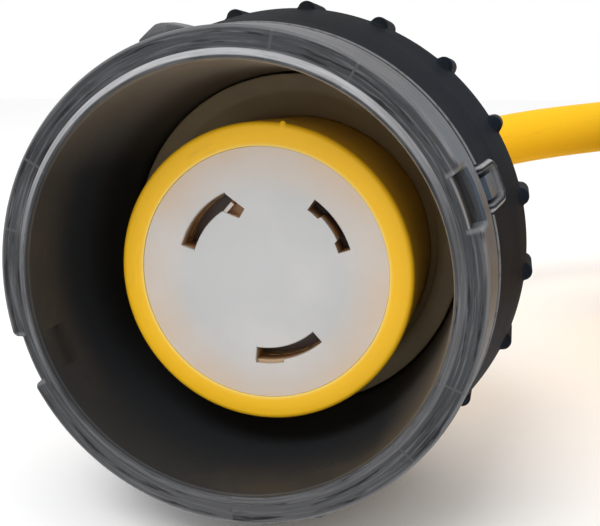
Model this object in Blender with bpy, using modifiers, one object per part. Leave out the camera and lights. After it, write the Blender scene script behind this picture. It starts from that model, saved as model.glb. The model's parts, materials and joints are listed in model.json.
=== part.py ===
"""Shore power cord, 30 A: locking connector with its sealing collar, 7.6 m of cord, and a plug.

The connector lies with its axis along Y and its mouth towards -Y.  Inside it every piece is drawn
about a local axis: local Z points out of the mouth, local X to the right and local Y up, and a
depth is measured backwards from the front rim of the collar.  Lengths are metres.
"""

import math

import bmesh
import bpy
from mathutils import Matrix, Vector

MM = 0.001
GAP = 0.3 * MM                    # air between neighbouring pieces

# ------------------------------------------------------------------ driving dimensions
RIM_RADIUS = 37.5 * MM            # front rim of the grey sleeve
BORE_RADIUS = 32.7 * MM           # its mouth
RING_RADIUS = 42.75 * MM          # widest turn of the black grip ring
RIB_TIP_RADIUS = 44.0 * MM
RIB_COUNT = 20
RIB_PHASE = math.radians(14)
LOWEST_RIB = math.radians(4)      # how far the lowest rib stands from straight down
LATCH_ANGLE = math.radians(21.8)  # one notch, latch peg and window; the other is opposite
LUG_ANGLE = math.radians(108.4)   # one wedge lug; the other is opposite

RIM_Y = -49.3 * MM                # where the rim stands along Y, so that the part is centred
AXIS_Z = RIB_TIP_RADIUS * math.cos(LOWEST_RIB)
BODY_SHIFT = Vector((0.75 * MM, -1.2 * MM, 0.0))   # the body sags in its soft seal

BODY_RADIUS = 24.8 * MM
FACE_RADIUS = 20.6 * MM
FACE_DEPTH = 15.0 * MM            # the face stands this far inside the collar

CORD_RADIUS = 8.5 * MM
CORD_PITCH = 2 * CORD_RADIUS

COIL_CENTRE = Vector((0.2053, 0.0894, 0.0))
COIL_INNER_TURN = 84.9 * MM
COIL_OUTER_TURN = 119.3 * MM
COIL_LAYERS = 4
STRAP_THICKNESS = 1.6 * MM
STRAP_WIDTH = 20.0 * MM

PLUG_RADIUS = 21.0 * MM
PLUG_LENGTH = 55.0 * MM
PLUG_FACE = Vector((0.1117, -0.0180, 0.0912))      # from the coil's centre: it lies on the coil
PLUG_HEADING = math.radians(31.0)                  # its blades point this far right of -Y

# ------------------------------------------------------------------ colours: (r, g, b), roughness, metallic
FINISHES = {
    "collar_grey": ((0.105, 0.107, 0.115), 0.42, 0.0),
    "grip_black": ((0.026, 0.028, 0.032), 0.55, 0.0),
    "rubber_black": ((0.020, 0.020, 0.021), 0.75, 0.0),
    "clip_steel": ((0.62, 0.62, 0.63), 0.30, 1.0),
    "shell_yellow": ((0.87, 0.46, 0.022), 0.45, 0.0),
    "face_nylon": ((0.62, 0.61, 0.59), 0.40, 0.0),
    "block_nylon": ((0.55, 0.54, 0.50), 0.50, 0.0),
    "brass": ((0.60, 0.40, 0.17), 0.30, 1.0),
    "screw_brass": ((0.66, 0.50, 0.24), 0.28, 1.0),
    "screw_silver": ((0.70, 0.70, 0.70), 0.28, 1.0),
    "screw_green": ((0.05, 0.30, 0.08), 0.40, 0.6),
    "lead_black": ((0.015, 0.015, 0.015), 0.50, 0.0),
    "lead_white": ((0.75, 0.75, 0.72), 0.50, 0.0),
    "lead_green": ((0.03, 0.28, 0.06), 0.50, 0.0),
    "clamp_grey": ((0.16, 0.16, 0.16), 0.60, 0.0),
    "cord_yellow": ((0.90, 0.53, 0.035), 0.50, 0.0),
    "strap_black": ((0.018, 0.018, 0.019), 0.85, 0.0),
    "blade_nickel": ((0.72, 0.70, 0.66), 0.25, 1.0),
}

for leftover in list(bpy.data.objects):
    bpy.data.objects.remove(leftover, do_unlink=True)

parts = bpy.data.collections.new("shore_power_cord")
cutters = bpy.data.collections.new("cutters")
bpy.context.scene.collection.children.link(parts)
bpy.context.scene.collection.children.link(cutters)


# ------------------------------------------------------------------ helpers
def finish(name):
    """The material called name, made the first time it is asked for."""
    if name in bpy.data.materials:
        return bpy.data.materials[name]
    colour, roughness, metallic = FINISHES[name]
    material = bpy.data.materials.new(name)
    material.use_nodes = True
    shader = material.node_tree.nodes["Principled BSDF"]
    shader.inputs["Base Color"].default_value = (*colour, 1.0)
    shader.inputs["Roughness"].default_value = roughness
    shader.inputs["Metallic"].default_value = metallic
    material.diffuse_color = (*colour, 1.0)
    return material


def frame(name, location, rotation):
    """An empty that carries a group of pieces."""
    empty = bpy.data.objects.new(name, None)
    empty.location = location
    empty.rotation_euler = rotation
    parts.objects.link(empty)
    return empty


def add(name, mesh, material=None, parent=None):
    """Link a mesh as a piece, or as a cutter where it has no material."""
    piece = bpy.data.objects.new(name, mesh)
    if material is None:
        cutters.objects.link(piece)
        piece.hide_render = True
        piece.display_type = "WIRE"
    else:
        parts.objects.link(piece)
        mesh.materials.append(finish(material))
    piece.parent = parent
    return piece


def smooth(mesh):
    mesh.shade_smooth()
    mesh.set_sharp_from_angle(angle=math.radians(35))


def turned(name, outline, steps, material=None, parent=None):
    """A closed outline of (depth, radius) points, in mm, turned about the local Z axis.

    The outline runs backwards along the outside, then forwards along the bore.
    """
    mesh = bpy.data.meshes.new(name)
    points = [(radius * MM, 0.0, -depth * MM) for depth, radius in outline]
    closed = outline[0][1] > 0
    edges = [(i, i + 1) for i in range(len(points) - 1)]
    if closed:
        edges.append((len(points) - 1, 0))
    mesh.from_pydata(points, edges, [])
    piece = add(name, mesh, material, parent)
    screw = piece.modifiers.new("turn", "SCREW")
    screw.steps = steps
    screw.render_steps = steps
    screw.use_merge_vertices = True
    screw.merge_threshold = 0.00001
    screw.use_smooth_shade = True
    return piece


def polar(radius, angle):
    return (radius * math.cos(angle), radius * math.sin(angle))


def arc(radius, start, end, count):
    """Points along an arc, angles in degrees, radius in mm."""
    span = range(count + 1)
    return [polar(radius * MM, math.radians(start + (end - start) * i / count)) for i in span]


def from_curve(name, curve, material, parent, matrix=None):
    """Turn a curve into a welded mesh piece and drop the curve."""
    carrier = bpy.data.objects.new(name + "_curve", curve)
    bpy.context.scene.collection.objects.link(carrier)
    bpy.context.view_layer.update()
    depsgraph = bpy.context.evaluated_depsgraph_get()
    mesh = bpy.data.meshes.new_from_object(carrier.evaluated_get(depsgraph))
    bpy.data.objects.remove(carrier)
    solid = bmesh.new()
    solid.from_mesh(mesh)
    bmesh.ops.remove_doubles(solid, verts=solid.verts, dist=0.000005)
    bmesh.ops.recalc_face_normals(solid, faces=solid.faces)
    if matrix is not None:
        bmesh.ops.transform(solid, matrix=matrix, verts=solid.verts)
    solid.to_mesh(mesh)
    solid.free()
    mesh.name = name
    mesh.materials.clear()
    return add(name, mesh, material, parent)


def plate(name, outline, front, rear, material=None, parent=None):
    """A flat outline of (x, y) points made thick between two depths, in mm."""
    curve = bpy.data.curves.new(name, "CURVE")
    curve.dimensions = "2D"
    curve.fill_mode = "BOTH"
    curve.extrude = (rear - front) / 2 * MM
    spline = curve.splines.new("POLY")
    spline.points.add(len(outline) - 1)
    for point, (x, y) in zip(spline.points, outline):
        point.co = (x, y, 0.0, 1.0)
    spline.use_cyclic_u = True
    centre = Matrix.Translation((0.0, 0.0, -(front + rear) / 2 * MM))
    return from_curve(name, curve, material, parent, centre)


def wire(name, points, radius, resolution, material, parent=None):
    """A round tube with filled caps along points."""
    curve = bpy.data.curves.new(name, "CURVE")
    curve.dimensions = "3D"
    curve.bevel_depth = radius
    curve.bevel_resolution = resolution
    curve.use_fill_caps = True
    spline = curve.splines.new("POLY")
    spline.points.add(len(points) - 1)
    for point, place in zip(spline.points, points):
        point.co = (*place, 1.0)
    piece = from_curve(name, curve, material, parent)
    smooth(piece.data)
    return piece


def block(name, size, centre, turn=0.0, bevel=0.0, material=None, parent=None):
    """A box of size (x, y, z) in mm about a centre in mm, turned about the local Z axis."""
    mesh = bpy.data.meshes.new(name)
    solid = bmesh.new()
    bmesh.ops.create_cube(solid, size=1.0)
    bmesh.ops.scale(solid, vec=[side * MM for side in size], verts=solid.verts)
    bmesh.ops.translate(solid, vec=[side * MM for side in centre], verts=solid.verts)
    bmesh.ops.rotate(solid, matrix=Matrix.Rotation(turn, 3, "Z"), verts=solid.verts)
    if bevel:
        bmesh.ops.bevel(solid, geom=solid.edges[:], offset=bevel * MM, offset_type="OFFSET",
                        affect="EDGES", segments=1, profile=0.5, material=-1)
    solid.to_mesh(mesh)
    solid.free()
    return add(name, mesh, material, parent)


def rod(name, radius, length, centre, axis="Z", segments=16, material=None, parent=None):
    """A cylinder in mm about a centre in mm, along a local axis."""
    mesh = bpy.data.meshes.new(name)
    solid = bmesh.new()
    bmesh.ops.create_cone(solid, cap_ends=True, segments=segments, radius1=radius * MM,
                          radius2=radius * MM, depth=length * MM)
    if axis != "Z":
        turn = Matrix.Rotation(math.pi / 2, 3, {"X": "Y", "Y": "X"}[axis])
        bmesh.ops.rotate(solid, matrix=turn, verts=solid.verts)
    bmesh.ops.translate(solid, vec=[side * MM for side in centre], verts=solid.verts)
    solid.to_mesh(mesh)
    solid.free()
    if material is not None:
        smooth(mesh)
    return add(name, mesh, material, parent)


def boolean(piece, tool, operation):
    """Cut a tool out of a piece, or join it on."""
    step = piece.modifiers.new(operation.lower(), "BOOLEAN")
    step.operation = operation
    step.object = tool
    step.solver = "EXACT"


def joined(name, tools):
    """Put several cutters into one, so that a single Boolean uses them all."""
    solid = bmesh.new()
    for tool in tools:
        solid.from_mesh(tool.data)
    mesh = bpy.data.meshes.new(name)
    solid.to_mesh(mesh)
    solid.free()
    parent = tools[0].parent
    for tool in tools:
        bpy.data.objects.remove(tool)
    return add(name, mesh, None, parent)


def spline_points(knots, spacing):
    """Points about spacing apart on a smooth curve through knots."""
    places = [Vector(knot) for knot in knots]
    places = [2 * places[0] - places[1]] + places + [2 * places[-1] - places[-2]]
    points = []
    for a, b, c, d in zip(places, places[1:], places[2:], places[3:]):
        steps = max(1, round((c - b).length / spacing))
        for i in range(steps):
            t = i / steps
            points.append(0.5 * (2 * b + (c - a) * t + (2 * a - 5 * b + 4 * c - d) * t ** 2
                                 + (3 * b - a - 3 * c + d) * t ** 3))
    points.append(places[-2])
    return points


# ------------------------------------------------------------------ the collar's axis and the body's axis
FACING_FRONT = (math.pi / 2, 0.0, 0.0)
collar_axis = frame("collar_axis", (0.0, RIM_Y, AXIS_Z), FACING_FRONT)
body_axis = frame("body_axis", (BODY_SHIFT.x, RIM_Y, AXIS_Z + BODY_SHIFT.y), FACING_FRONT)


# ------------------------------------------------------------------ grey sleeve of the locking collar
def make_sleeve():
    """Rim, barrel and rear wall in one moulding, with notches, latch pegs and wedge lugs."""
    rim = RIM_RADIUS / MM
    bore = BORE_RADIUS / MM
    outline = [
        (-0.7, bore + 0.7), (0.0, bore + 1.6), (0.0, rim - 0.6), (0.5, rim), (11.0, rim + 1.1),
        (11.4, rim + 0.8), (11.4, 36.2), (46.4, 36.2), (47.0, 35.6), (47.0, 30.0),
        (44.0, 30.0), (44.0, 31.7), (0.3, bore - 0.1), (-0.4, bore),
    ]
    sleeve = turned("collar_sleeve", outline, 48, "collar_grey", collar_axis)
    pegs = []
    lugs = []
    notches = []
    for half_turn in (0.0, math.pi):
        angle = LATCH_ANGLE + half_turn
        pegs.append(block("peg", (3.6, 4.0, 6.6), (37.4, 0.0, -17.0), angle, 0.3, None, collar_axis))
        notches.append(block("notch", (6.0, 8.3, 8.0), (39.0, 0.0, -2.0), angle, 0.0, None, collar_axis))
        angle = LUG_ANGLE + half_turn
        lugs.append(block("lug", (4.0, 7.6, 5.4), (38.0, 0.0, -8.4), angle, 0.8, None, collar_axis))
    boolean(sleeve, joined("sleeve_notches", notches), "DIFFERENCE")
    boolean(sleeve, joined("sleeve_pegs", pegs + lugs), "UNION")
    return sleeve


# ------------------------------------------------------------------ black grip ring
def make_grip_ring():
    """A cone that snaps over the sleeve's barrel, with two latch windows and twenty ribs."""
    wide = RING_RADIUS / MM
    outline = [
        (12.4, 38.3), (12.9, 38.85), (36.2, wide - 0.15), (37.1, wide), (46.5, wide - 0.45),
        (49.0, wide - 1.4), (50.3, wide - 3.5), (50.3, 33.0), (47.3, 33.0), (47.3, 36.5),
        (12.4, 36.5),
    ]
    ring = turned("grip_ring", outline, 60, "grip_black", collar_axis)
    rib_radius = 1.6
    rib_centre = RIB_TIP_RADIUS / MM - rib_radius
    ribs = []
    for i in range(RIB_COUNT):
        angle = RIB_PHASE + 2 * math.pi * i / RIB_COUNT
        x, y = polar(rib_centre, angle)
        ribs.append(rod("rib", rib_radius, 12.5, (x, y, -41.5), "Z", 8, None, collar_axis))
    boolean(ring, joined("ring_ribs", ribs), "UNION")
    windows = []
    for half_turn in (0.0, math.pi):
        angle = LATCH_ANGLE + half_turn
        windows.append(block("window", (8.0, 5.4, 11.0), (39.0, 0.0, -16.0), angle, 0.0, None, collar_axis))
    boolean(ring, joined("ring_windows", windows), "DIFFERENCE")
    return ring


# ------------------------------------------------------------------ carrier that slides on the body
def make_carrier():
    """The collar turns on this nylon bush, whose rubber lip grips the connector body."""
    bush = [
        (41.0, 31.3), (43.7, 31.3), (43.7, 29.7), (47.2, 29.7), (47.2, 28.7), (49.2, 28.7),
        (49.2, 29.7), (60.0, 29.7), (61.0, 28.9), (61.0, 27.7), (41.0, 27.7),
    ]
    turned("seal_carrier", bush, 32, "rubber_black", collar_axis)
    gasket = [(38.5, 31.2), (40.7, 31.2), (40.7, 27.2), (38.9, 27.2), (38.5, 28.0)]
    turned("bore_gasket", gasket, 32, "rubber_black", collar_axis)
    clip = [(47.4, 32.2), (49.0, 32.2), (49.0, 29.0), (47.4, 29.0)]
    turned("carrier_clip", clip, 32, "clip_steel", collar_axis)
    lip = [(42.0, 27.4), (60.0, 27.4), (60.0, 20.0), (42.0, 20.0)]
    seal = turned("body_seal", lip, 40, "rubber_black", collar_axis)
    shift = (BODY_SHIFT.x / MM, BODY_SHIFT.y / MM)
    bore = rod("seal_bore", BODY_RADIUS / MM + 0.3, 30.0, (*shift, -51.0), "Z", 40, None, collar_axis)
    boolean(seal, bore, "DIFFERENCE")


# ------------------------------------------------------------------ connector body
def make_connector_shell():
    """Yellow moulded shell with a rim around the face and a hole for the strain relief."""
    front = FACE_DEPTH / MM
    radius = BODY_RADIUS / MM
    outline = [
        (front, radius - 0.6), (front + 0.3, radius - 0.15), (front + 1.0, radius), (68.0, radius),
        (69.5, radius - 0.4), (77.5, 18.0), (78.5, 16.6), (78.5, 13.2), (75.5, 13.2), (75.5, 15.6),
        (69.0, 21.6), (31.0, 21.6), (31.0, 20.9), (front, 20.9),
    ]
    turned("connector_shell", outline, 40, "shell_yellow", body_axis)


# Each slot: name, inner radius, outer radius, start and end angle in degrees.
SLOTS = (
    ("ground", 12.3, 14.7, 115.8, 163.0),
    ("neutral", 13.2, 15.3, 17.8, 55.5),
    ("hot", 12.5, 14.7, -95.0, -47.5),
)
GROUND_HOOK = ((-6.40, 13.23), (-2.96, 10.75), (-3.89, 9.16), (-7.0, 10.3))


def sector(inner, outer, start, end, count=6):
    """The outline of a ring sector, radii in mm and angles in degrees."""
    return arc(outer, start, end, count) + arc(inner, end, start, count)


def make_face():
    """Nylon contact face: a thin front with three curved slots, and a pocket behind each."""
    radius = FACE_RADIUS / MM
    front = FACE_DEPTH / MM + 0.2
    outline = [(front, 0.0), (front, radius - 0.3), (front + 0.3, radius), (30.0, radius), (30.0, 0.0)]
    face = turned("contact_face", outline, 40, "face_nylon", body_axis)
    slots = [plate("slot", sector(*slot[1:]), front - 1.0, 20.0, None, body_axis) for slot in SLOTS]
    boolean(face, joined("face_slots", slots), "DIFFERENCE")
    hook = [(x * MM, y * MM) for x, y in reversed(GROUND_HOOK)]
    boolean(face, plate("face_hook", hook, front - 1.0, 20.0, None, body_axis), "DIFFERENCE")
    pockets = []
    for name, inner, outer, start, end in SLOTS:
        shape = sector(inner - 1.1, outer + 1.1, start - 5, end + 5)
        pockets.append(plate("pocket", shape, 18.4, 31.0, None, body_axis))
    boolean(face, joined("face_pockets", pockets), "DIFFERENCE")


def make_contacts():
    """Three brass contacts: a channel for the blade, a terminal tongue, and a binding screw."""
    screws = {"ground": "screw_green", "neutral": "screw_silver", "hot": "screw_brass"}
    holes = []
    passages = []
    for name, inner, outer, start, end in SLOTS:
        middle = math.radians((start + end) / 2)
        shape = sector(inner - 0.8, outer + 0.8, start - 3, end + 3)
        contact = plate("contact_" + name, shape, 18.8, 44.2, "brass", body_axis)
        groove = plate(name + "_groove", sector(inner, outer, start - 8, end + 8), 17.0, 38.0, None,
                       body_axis)
        boolean(contact, groove, "DIFFERENCE")
        tongue = block(name + "_tongue", (8.0, 8.0, 1.6), (9.2, 0.0, -43.4), middle, 0.0, None,
                       body_axis)
        boolean(contact, tongue, "UNION")
        x, y = polar(8.6, middle)
        boolean(contact, rod(name + "_hole", 2.2, 6.0, (x, y, -43.4), "Z", 16, None, body_axis),
                "DIFFERENCE")
        screw = rod("terminal_screw_" + name, 3.1, 2.2, (x, y, -45.6), "Z", 16, screws[name], body_axis)
        shank = rod(name + "_shank", 1.9, 9.0, (x, y, -41.0), "Z", 12, None, body_axis)
        boolean(screw, shank, "UNION")
        holes.append(rod("block_hole", 2.2, 10.0, (x, y, -40.0), "Z", 16, None, body_axis))
        wide = sector(inner - 1.1, outer + 1.1, start - 5, end + 5)
        passages.append(plate("passage", wide, 29.0, 44.0, None, body_axis))
    outline = [(31.3, 0.0), (31.3, 21.3), (42.2, 21.3), (42.2, 0.0)]
    insulator = turned("terminal_block", outline, 32, "block_nylon", body_axis)
    boolean(insulator, joined("block_passages", passages), "DIFFERENCE")
    boolean(insulator, joined("block_holes", holes), "DIFFERENCE")


def make_leads(prefix, ends, depth_near, depth_far, colours, parent):
    """Insulated leads that gather from their terminals into the cord's jacket."""
    for name, x, y in ends:
        reach = depth_far - depth_near
        gathered = 4.4 / math.hypot(x, y)
        stations = ((0.0, 1.0), (0.2, 1.0), (0.5, 0.5 + gathered / 2), (0.8, gathered), (1.0, gathered))
        points = [(x * k * MM, y * k * MM, -(depth_near + reach * t) * MM) for t, k in stations]
        wire(prefix + name, points, 2.1 * MM, 2, colours[name], parent)


LEAD_COLOURS = {"hot": "lead_black", "neutral": "lead_white", "ground": "lead_green"}


def make_connector_leads():
    ends = []
    for name, inner, outer, start, end in SLOTS:
        x, y = polar(8.6, math.radians((start + end) / 2))
        ends.append((name, x, y))
    make_leads("connector_lead_", ends, 47.1, 56.4, LEAD_COLOURS, body_axis)


def make_cord_clamp():
    """Two clamp halves squeeze the cord's jacket, drawn together by two screws."""
    cord = CORD_RADIUS / MM
    for name, side in (("upper", 1), ("lower", -1)):
        half = block("cord_clamp_" + name, (32.0, 12.4, 8.0), (0.0, side * 6.5, -62.0), 0.0, 0.5,
                     "clamp_grey", body_axis)
        boolean(half, rod(name + "_clamp_bore", cord + 0.3, 20.0, (0.0, 0.0, -62.0), "Z", 24, None,
                          body_axis), "DIFFERENCE")
        holes = [rod("hole", 1.9, 40.0, (x, 0.0, -62.0), "Y", 12, None, body_axis) for x in (-12.6, 12.6)]
        boolean(half, joined(name + "_clamp_holes", holes), "DIFFERENCE")
    for name, x in (("left", -12.6), ("right", 12.6)):
        screw = rod("clamp_screw_" + name, 1.6, 24.0, (x, 1.8, -62.0), "Y", 12, "clip_steel", body_axis)
        head = rod(name + "_screw_head", 2.6, 1.8, (x, 13.9, -62.0), "Y", 12, None, body_axis)
        boolean(screw, head, "UNION")


BOOT_RINGS = 5
BOOT_PITCH = 3.6                  # mm from ring to ring


def boot_rings(depth, radius):
    """The stepped, tapering outside of a cord boot, as (depth, radius) points in mm."""
    points = []
    for i in range(BOOT_RINGS):
        ring = radius - 0.72 * i
        start = depth + BOOT_PITCH * i
        points += [(start + 1.0, ring - 0.9), (start + 2.0, ring), (start + BOOT_PITCH, ring - 0.3)]
    return points


def boot_end(rear, front):
    """The boot's rear edge and the bore that the cord passes through."""
    bore = CORD_RADIUS / MM + 0.3
    return [(rear, 10.1), (rear, bore), (front, bore)]


def make_strain_relief():
    """Tapered yellow boot, held in the shell's rear wall by a groove and stepped like a bellows."""
    outline = [(71.5, 14.6), (75.2, 14.6), (75.2, 12.9), (78.8, 12.9), (78.8, 14.2), (80.4, 14.4)]
    outline += boot_rings(80.4, 13.9) + boot_end(99.3, 71.5)
    turned("strain_relief", outline, 20, "shell_yellow", body_axis)


# ------------------------------------------------------------------ cord
def cord_world(depth, x, up):
    """A place given from the collar's axis, in mm, as world metres."""
    return Vector((x * MM, RIM_Y + depth * MM, AXIS_Z + up * MM))


COIL_FLOOR = STRAP_THICKNESS + GAP
COIL_TOP = COIL_FLOOR + COIL_LAYERS * CORD_PITCH

# The cord leaves the connector straight back, swings right and rises to the top of the coil.
LEAD_ROUTE = (
    cord_world(57.0, 0.75, -1.2), cord_world(80.0, 0.75, -1.2), cord_world(103.0, 0.8, -1.0),
    cord_world(124.0, 2.4, 0.2), cord_world(146.0, 8.6, 3.4), cord_world(168.0, 21.4, 8.0),
    cord_world(187.0, 39.4, 12.2), cord_world(203.0, 64.5, 15.4), cord_world(215.4, 90.5, 17.2),
)


# The cord comes up out of the top layer and bends round to the plug that lies on the coil,
# (x, y, z) in mm from the coil's centre.
TAIL_ROUTE = (
    (21.4, 95.6, 77.9), (29.1, 92.4, 81.7), (39.5, 86.5, 85.9), (49.0, 79.1, 88.8),
    (57.3, 70.5, 90.6), (64.8, 60.0, 91.2), (75.1, 42.8, 91.2), (87.5, 22.3, 91.2),
)


def make_cord():
    """The lead, the wound coil and the tail to the plug, with the straps that hold the coil."""
    wire("cord_lead", spline_points(LEAD_ROUTE, 1.2 * CORD_PITCH), CORD_RADIUS, 3, "cord_yellow")
    inner = (COIL_INNER_TURN - CORD_RADIUS) / MM
    outer = (COIL_OUTER_TURN + CORD_RADIUS) / MM
    low = COIL_FLOOR / MM
    high = COIL_TOP / MM
    outline = [(-high, inner + 4), (-high, outer - 4), (-high + 4, outer), (-low - 4, outer),
               (-low, outer - 4), (-low, inner + 4), (-low - 4, inner), (-high + 4, inner)]
    coil = turned("cord_coil", outline, 48, "cord_yellow")
    coil.location = COIL_CENTRE
    tail = [COIL_CENTRE + Vector(place) * MM for place in TAIL_ROUTE]
    wire("cord_tail", spline_points(tail, CORD_PITCH), CORD_RADIUS, 3, "cord_yellow")
    reach = STRAP_WIDTH / 2 / MM
    near = math.sqrt(inner ** 2 - reach ** 2) - 0.3
    far = outer + 0.3
    thick = STRAP_THICKNESS / MM
    for name, angle in (("left", 160.0), ("front", 280.0)):
        hole = [(near, thick), (far, thick), (far, high + 0.3), (near, high + 0.3)]
        rim = [(near - thick, 0.0), (far + thick, 0.0), (far + thick, high + 0.3 + thick),
               (near - thick, high + 0.3 + thick)]
        stand = Matrix.Translation(COIL_CENTRE) @ Matrix.Rotation(math.radians(angle), 4, "Z")
        stand = stand @ Matrix.Rotation(math.pi / 2, 4, "X")
        strap = plate("cord_strap_" + name, [(x * MM, y * MM) for x, y in rim], -reach, reach,
                      "strap_black")
        window = plate(name + "_strap_window", [(x * MM, y * MM) for x, y in hole], -reach - 5, reach + 5)
        strap.matrix_world = stand
        window.matrix_world = stand
        boolean(strap, window, "DIFFERENCE")


# ------------------------------------------------------------------ plug on the far end
def make_plug():
    """Straight-blade plug: hollow grip, blade carrier, two slanted blades and a round earth pin."""
    plug_axis = frame("plug_axis", COIL_CENTRE + PLUG_FACE, (math.pi / 2, 0.0, PLUG_HEADING))
    radius = PLUG_RADIUS / MM
    length = PLUG_LENGTH / MM
    shell = [
        (0.0, radius - 0.6), (0.6, radius), (18.0, radius), (22.0, radius - 1.2), (34.0, 16.4),
        (42.0, 16.0), (50.0, 17.6), (54.0, 17.2), (length, 16.0), (length, 12.2), (length - 4, 12.2),
        (length - 4, 13.4), (34.0, 13.4), (20.0, 17.8), (0.0, 17.8),
    ]
    turned("plug_shell", shell, 32, "shell_yellow", plug_axis)
    carrier = turned("plug_blade_carrier", [(0.3, 0.0), (0.3, 17.5), (14.0, 17.5), (14.0, 0.0)], 32,
                     "rubber_black", plug_axis)
    slots = []
    for name, side in (("hot", -1), ("neutral", 1)):
        slant = side * math.radians(45)
        centre = Matrix.Rotation(-slant, 3, "Z") @ Vector((side * 10.0, 3.5, 0.0))
        block("plug_blade_" + name, (1.5, 8.0, 35.0), (centre.x, centre.y, 4.5), slant, 0.3,
              "blade_nickel", plug_axis)
        slots.append(block("blade_slot", (2.1, 8.6, 40.0), (centre.x, centre.y, 0.0), slant, 0.0, None,
                           plug_axis))
    slots.append(rod("pin_slot", 2.8, 40.0, (0.0, -9.0, 0.0), "Z", 20, None, plug_axis))
    boolean(carrier, joined("plug_slots", slots), "DIFFERENCE")
    rod("plug_earth_pin", 2.5, 38.0, (0.0, -9.0, 6.0), "Z", 20, "blade_nickel", plug_axis)
    ends = (("hot", -10.0, 3.5), ("neutral", 10.0, 3.5), ("ground", 0.0, -9.0))
    make_leads("plug_lead_", ends, 15.0, 45.0, LEAD_COLOURS, plug_axis)
    relief = [(length - 8.5, 13.1), (length - 4.3, 13.1), (length - 4.3, 11.9), (length + 0.3, 11.9),
              (length + 0.3, 13.6), (length + 2.0, 13.8)]
    relief += boot_rings(length + 2.0, 13.4)
    end = length + 2.0 + BOOT_RINGS * BOOT_PITCH
    turned("plug_strain_relief", relief + boot_end(end + 8.0, length - 8.5), 20, "shell_yellow", plug_axis)


make_sleeve()
make_grip_ring()
make_carrier()
make_connector_shell()
make_face()
make_contacts()
make_connector_leads()
make_cord_clamp()
make_strain_relief()
make_cord()
make_plug()
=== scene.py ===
"""Shore power cord, 30 A: the finished surfaces of the connector, its collar, the cord and the plug."""

import json
import math

import bmesh
import bpy
from mathutils import Matrix, Vector


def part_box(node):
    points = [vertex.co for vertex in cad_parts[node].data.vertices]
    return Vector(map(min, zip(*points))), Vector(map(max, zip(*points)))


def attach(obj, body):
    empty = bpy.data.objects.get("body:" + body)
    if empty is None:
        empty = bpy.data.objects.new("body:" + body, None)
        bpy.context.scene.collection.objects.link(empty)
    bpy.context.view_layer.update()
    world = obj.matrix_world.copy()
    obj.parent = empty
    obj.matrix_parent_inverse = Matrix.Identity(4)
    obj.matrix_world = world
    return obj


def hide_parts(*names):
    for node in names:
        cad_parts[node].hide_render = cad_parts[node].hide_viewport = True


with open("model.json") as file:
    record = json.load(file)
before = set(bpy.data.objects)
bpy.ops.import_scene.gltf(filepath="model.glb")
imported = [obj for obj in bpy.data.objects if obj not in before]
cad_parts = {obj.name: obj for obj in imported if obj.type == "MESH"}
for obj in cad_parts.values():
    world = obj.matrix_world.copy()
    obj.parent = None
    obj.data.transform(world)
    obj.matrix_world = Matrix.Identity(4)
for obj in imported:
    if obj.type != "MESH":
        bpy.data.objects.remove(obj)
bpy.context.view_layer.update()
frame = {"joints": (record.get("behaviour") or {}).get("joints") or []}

# ---------------------------------------------------------------- camera, light and table
# The connector lies on a white table in a light tent.  The eye is a hand's width in front of the
# collar's mouth, a little above it and to its right, and looks back and down past the mouth.
MM = 0.001
joints = {joint["name"]: joint for joint in frame["joints"]}
AXIS_Z = joints["collar_turn"]["pos_m"][2]
LIP_HEIGHT = 0.7 * MM
RIM_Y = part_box("collar_sleeve")[0].y + LIP_HEIGHT
EYE_FROM_MOUTH = Vector((39.9, -119.6, 28.5)) * MM
EYE_AZIMUTH = math.radians(13.7)
EYE_ELEVATION = math.radians(11.2)


def placed(name, data):
    """A new object with this data, in the scene."""
    thing = bpy.data.objects.new(name, data)
    bpy.context.scene.collection.objects.link(thing)
    return thing


camera = placed("camera", bpy.data.cameras.new("camera"))
camera.data.sensor_width = 36.0
camera.data.lens = 52.56
camera.data.clip_start = 0.01
camera.location = Vector((0.0, RIM_Y, AXIS_Z)) + EYE_FROM_MOUTH
back = Vector((math.sin(EYE_AZIMUTH) * math.cos(EYE_ELEVATION),
               -math.cos(EYE_AZIMUTH) * math.cos(EYE_ELEVATION), math.sin(EYE_ELEVATION)))
camera.rotation_euler = (-back).to_track_quat("-Z", "Y").to_euler()
bpy.context.scene.camera = camera
bpy.context.scene.view_settings.view_transform = "Standard"

tent = bpy.data.worlds.new("light_tent")
tent.use_nodes = True
tent.node_tree.nodes["Background"].inputs["Color"].default_value = (1.0, 1.0, 1.0, 1.0)
tent.node_tree.nodes["Background"].inputs["Strength"].default_value = 1.0
bpy.context.scene.world = tent


def softbox(name, place, aim, size, watts):
    """A square panel of soft white light at place, turned towards aim."""
    panel = placed(name, bpy.data.lights.new(name, "AREA"))
    panel.data.size = size
    panel.data.energy = watts
    panel.location = place
    panel.rotation_euler = (Vector(aim) - Vector(place)).to_track_quat("-Z", "Y").to_euler()


softbox("key_panel", (-0.15, -0.75, 0.95), (0.0, 0.0, 0.03), 0.5, 6.0)

table_mesh = bpy.data.meshes.new("table")
shape = bmesh.new()
bmesh.ops.create_grid(shape, x_segments=1, y_segments=1, size=6.0)
shape.to_mesh(table_mesh)
shape.free()
table = placed("table", table_mesh)
paper = bpy.data.materials.new("table_paper")
paper.use_nodes = True
paper.node_tree.nodes["Principled BSDF"].inputs["Base Color"].default_value = (0.96, 0.96, 0.96, 1.0)
paper.node_tree.nodes["Principled BSDF"].inputs["Roughness"].default_value = 0.9
table_mesh.materials.append(paper)

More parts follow.
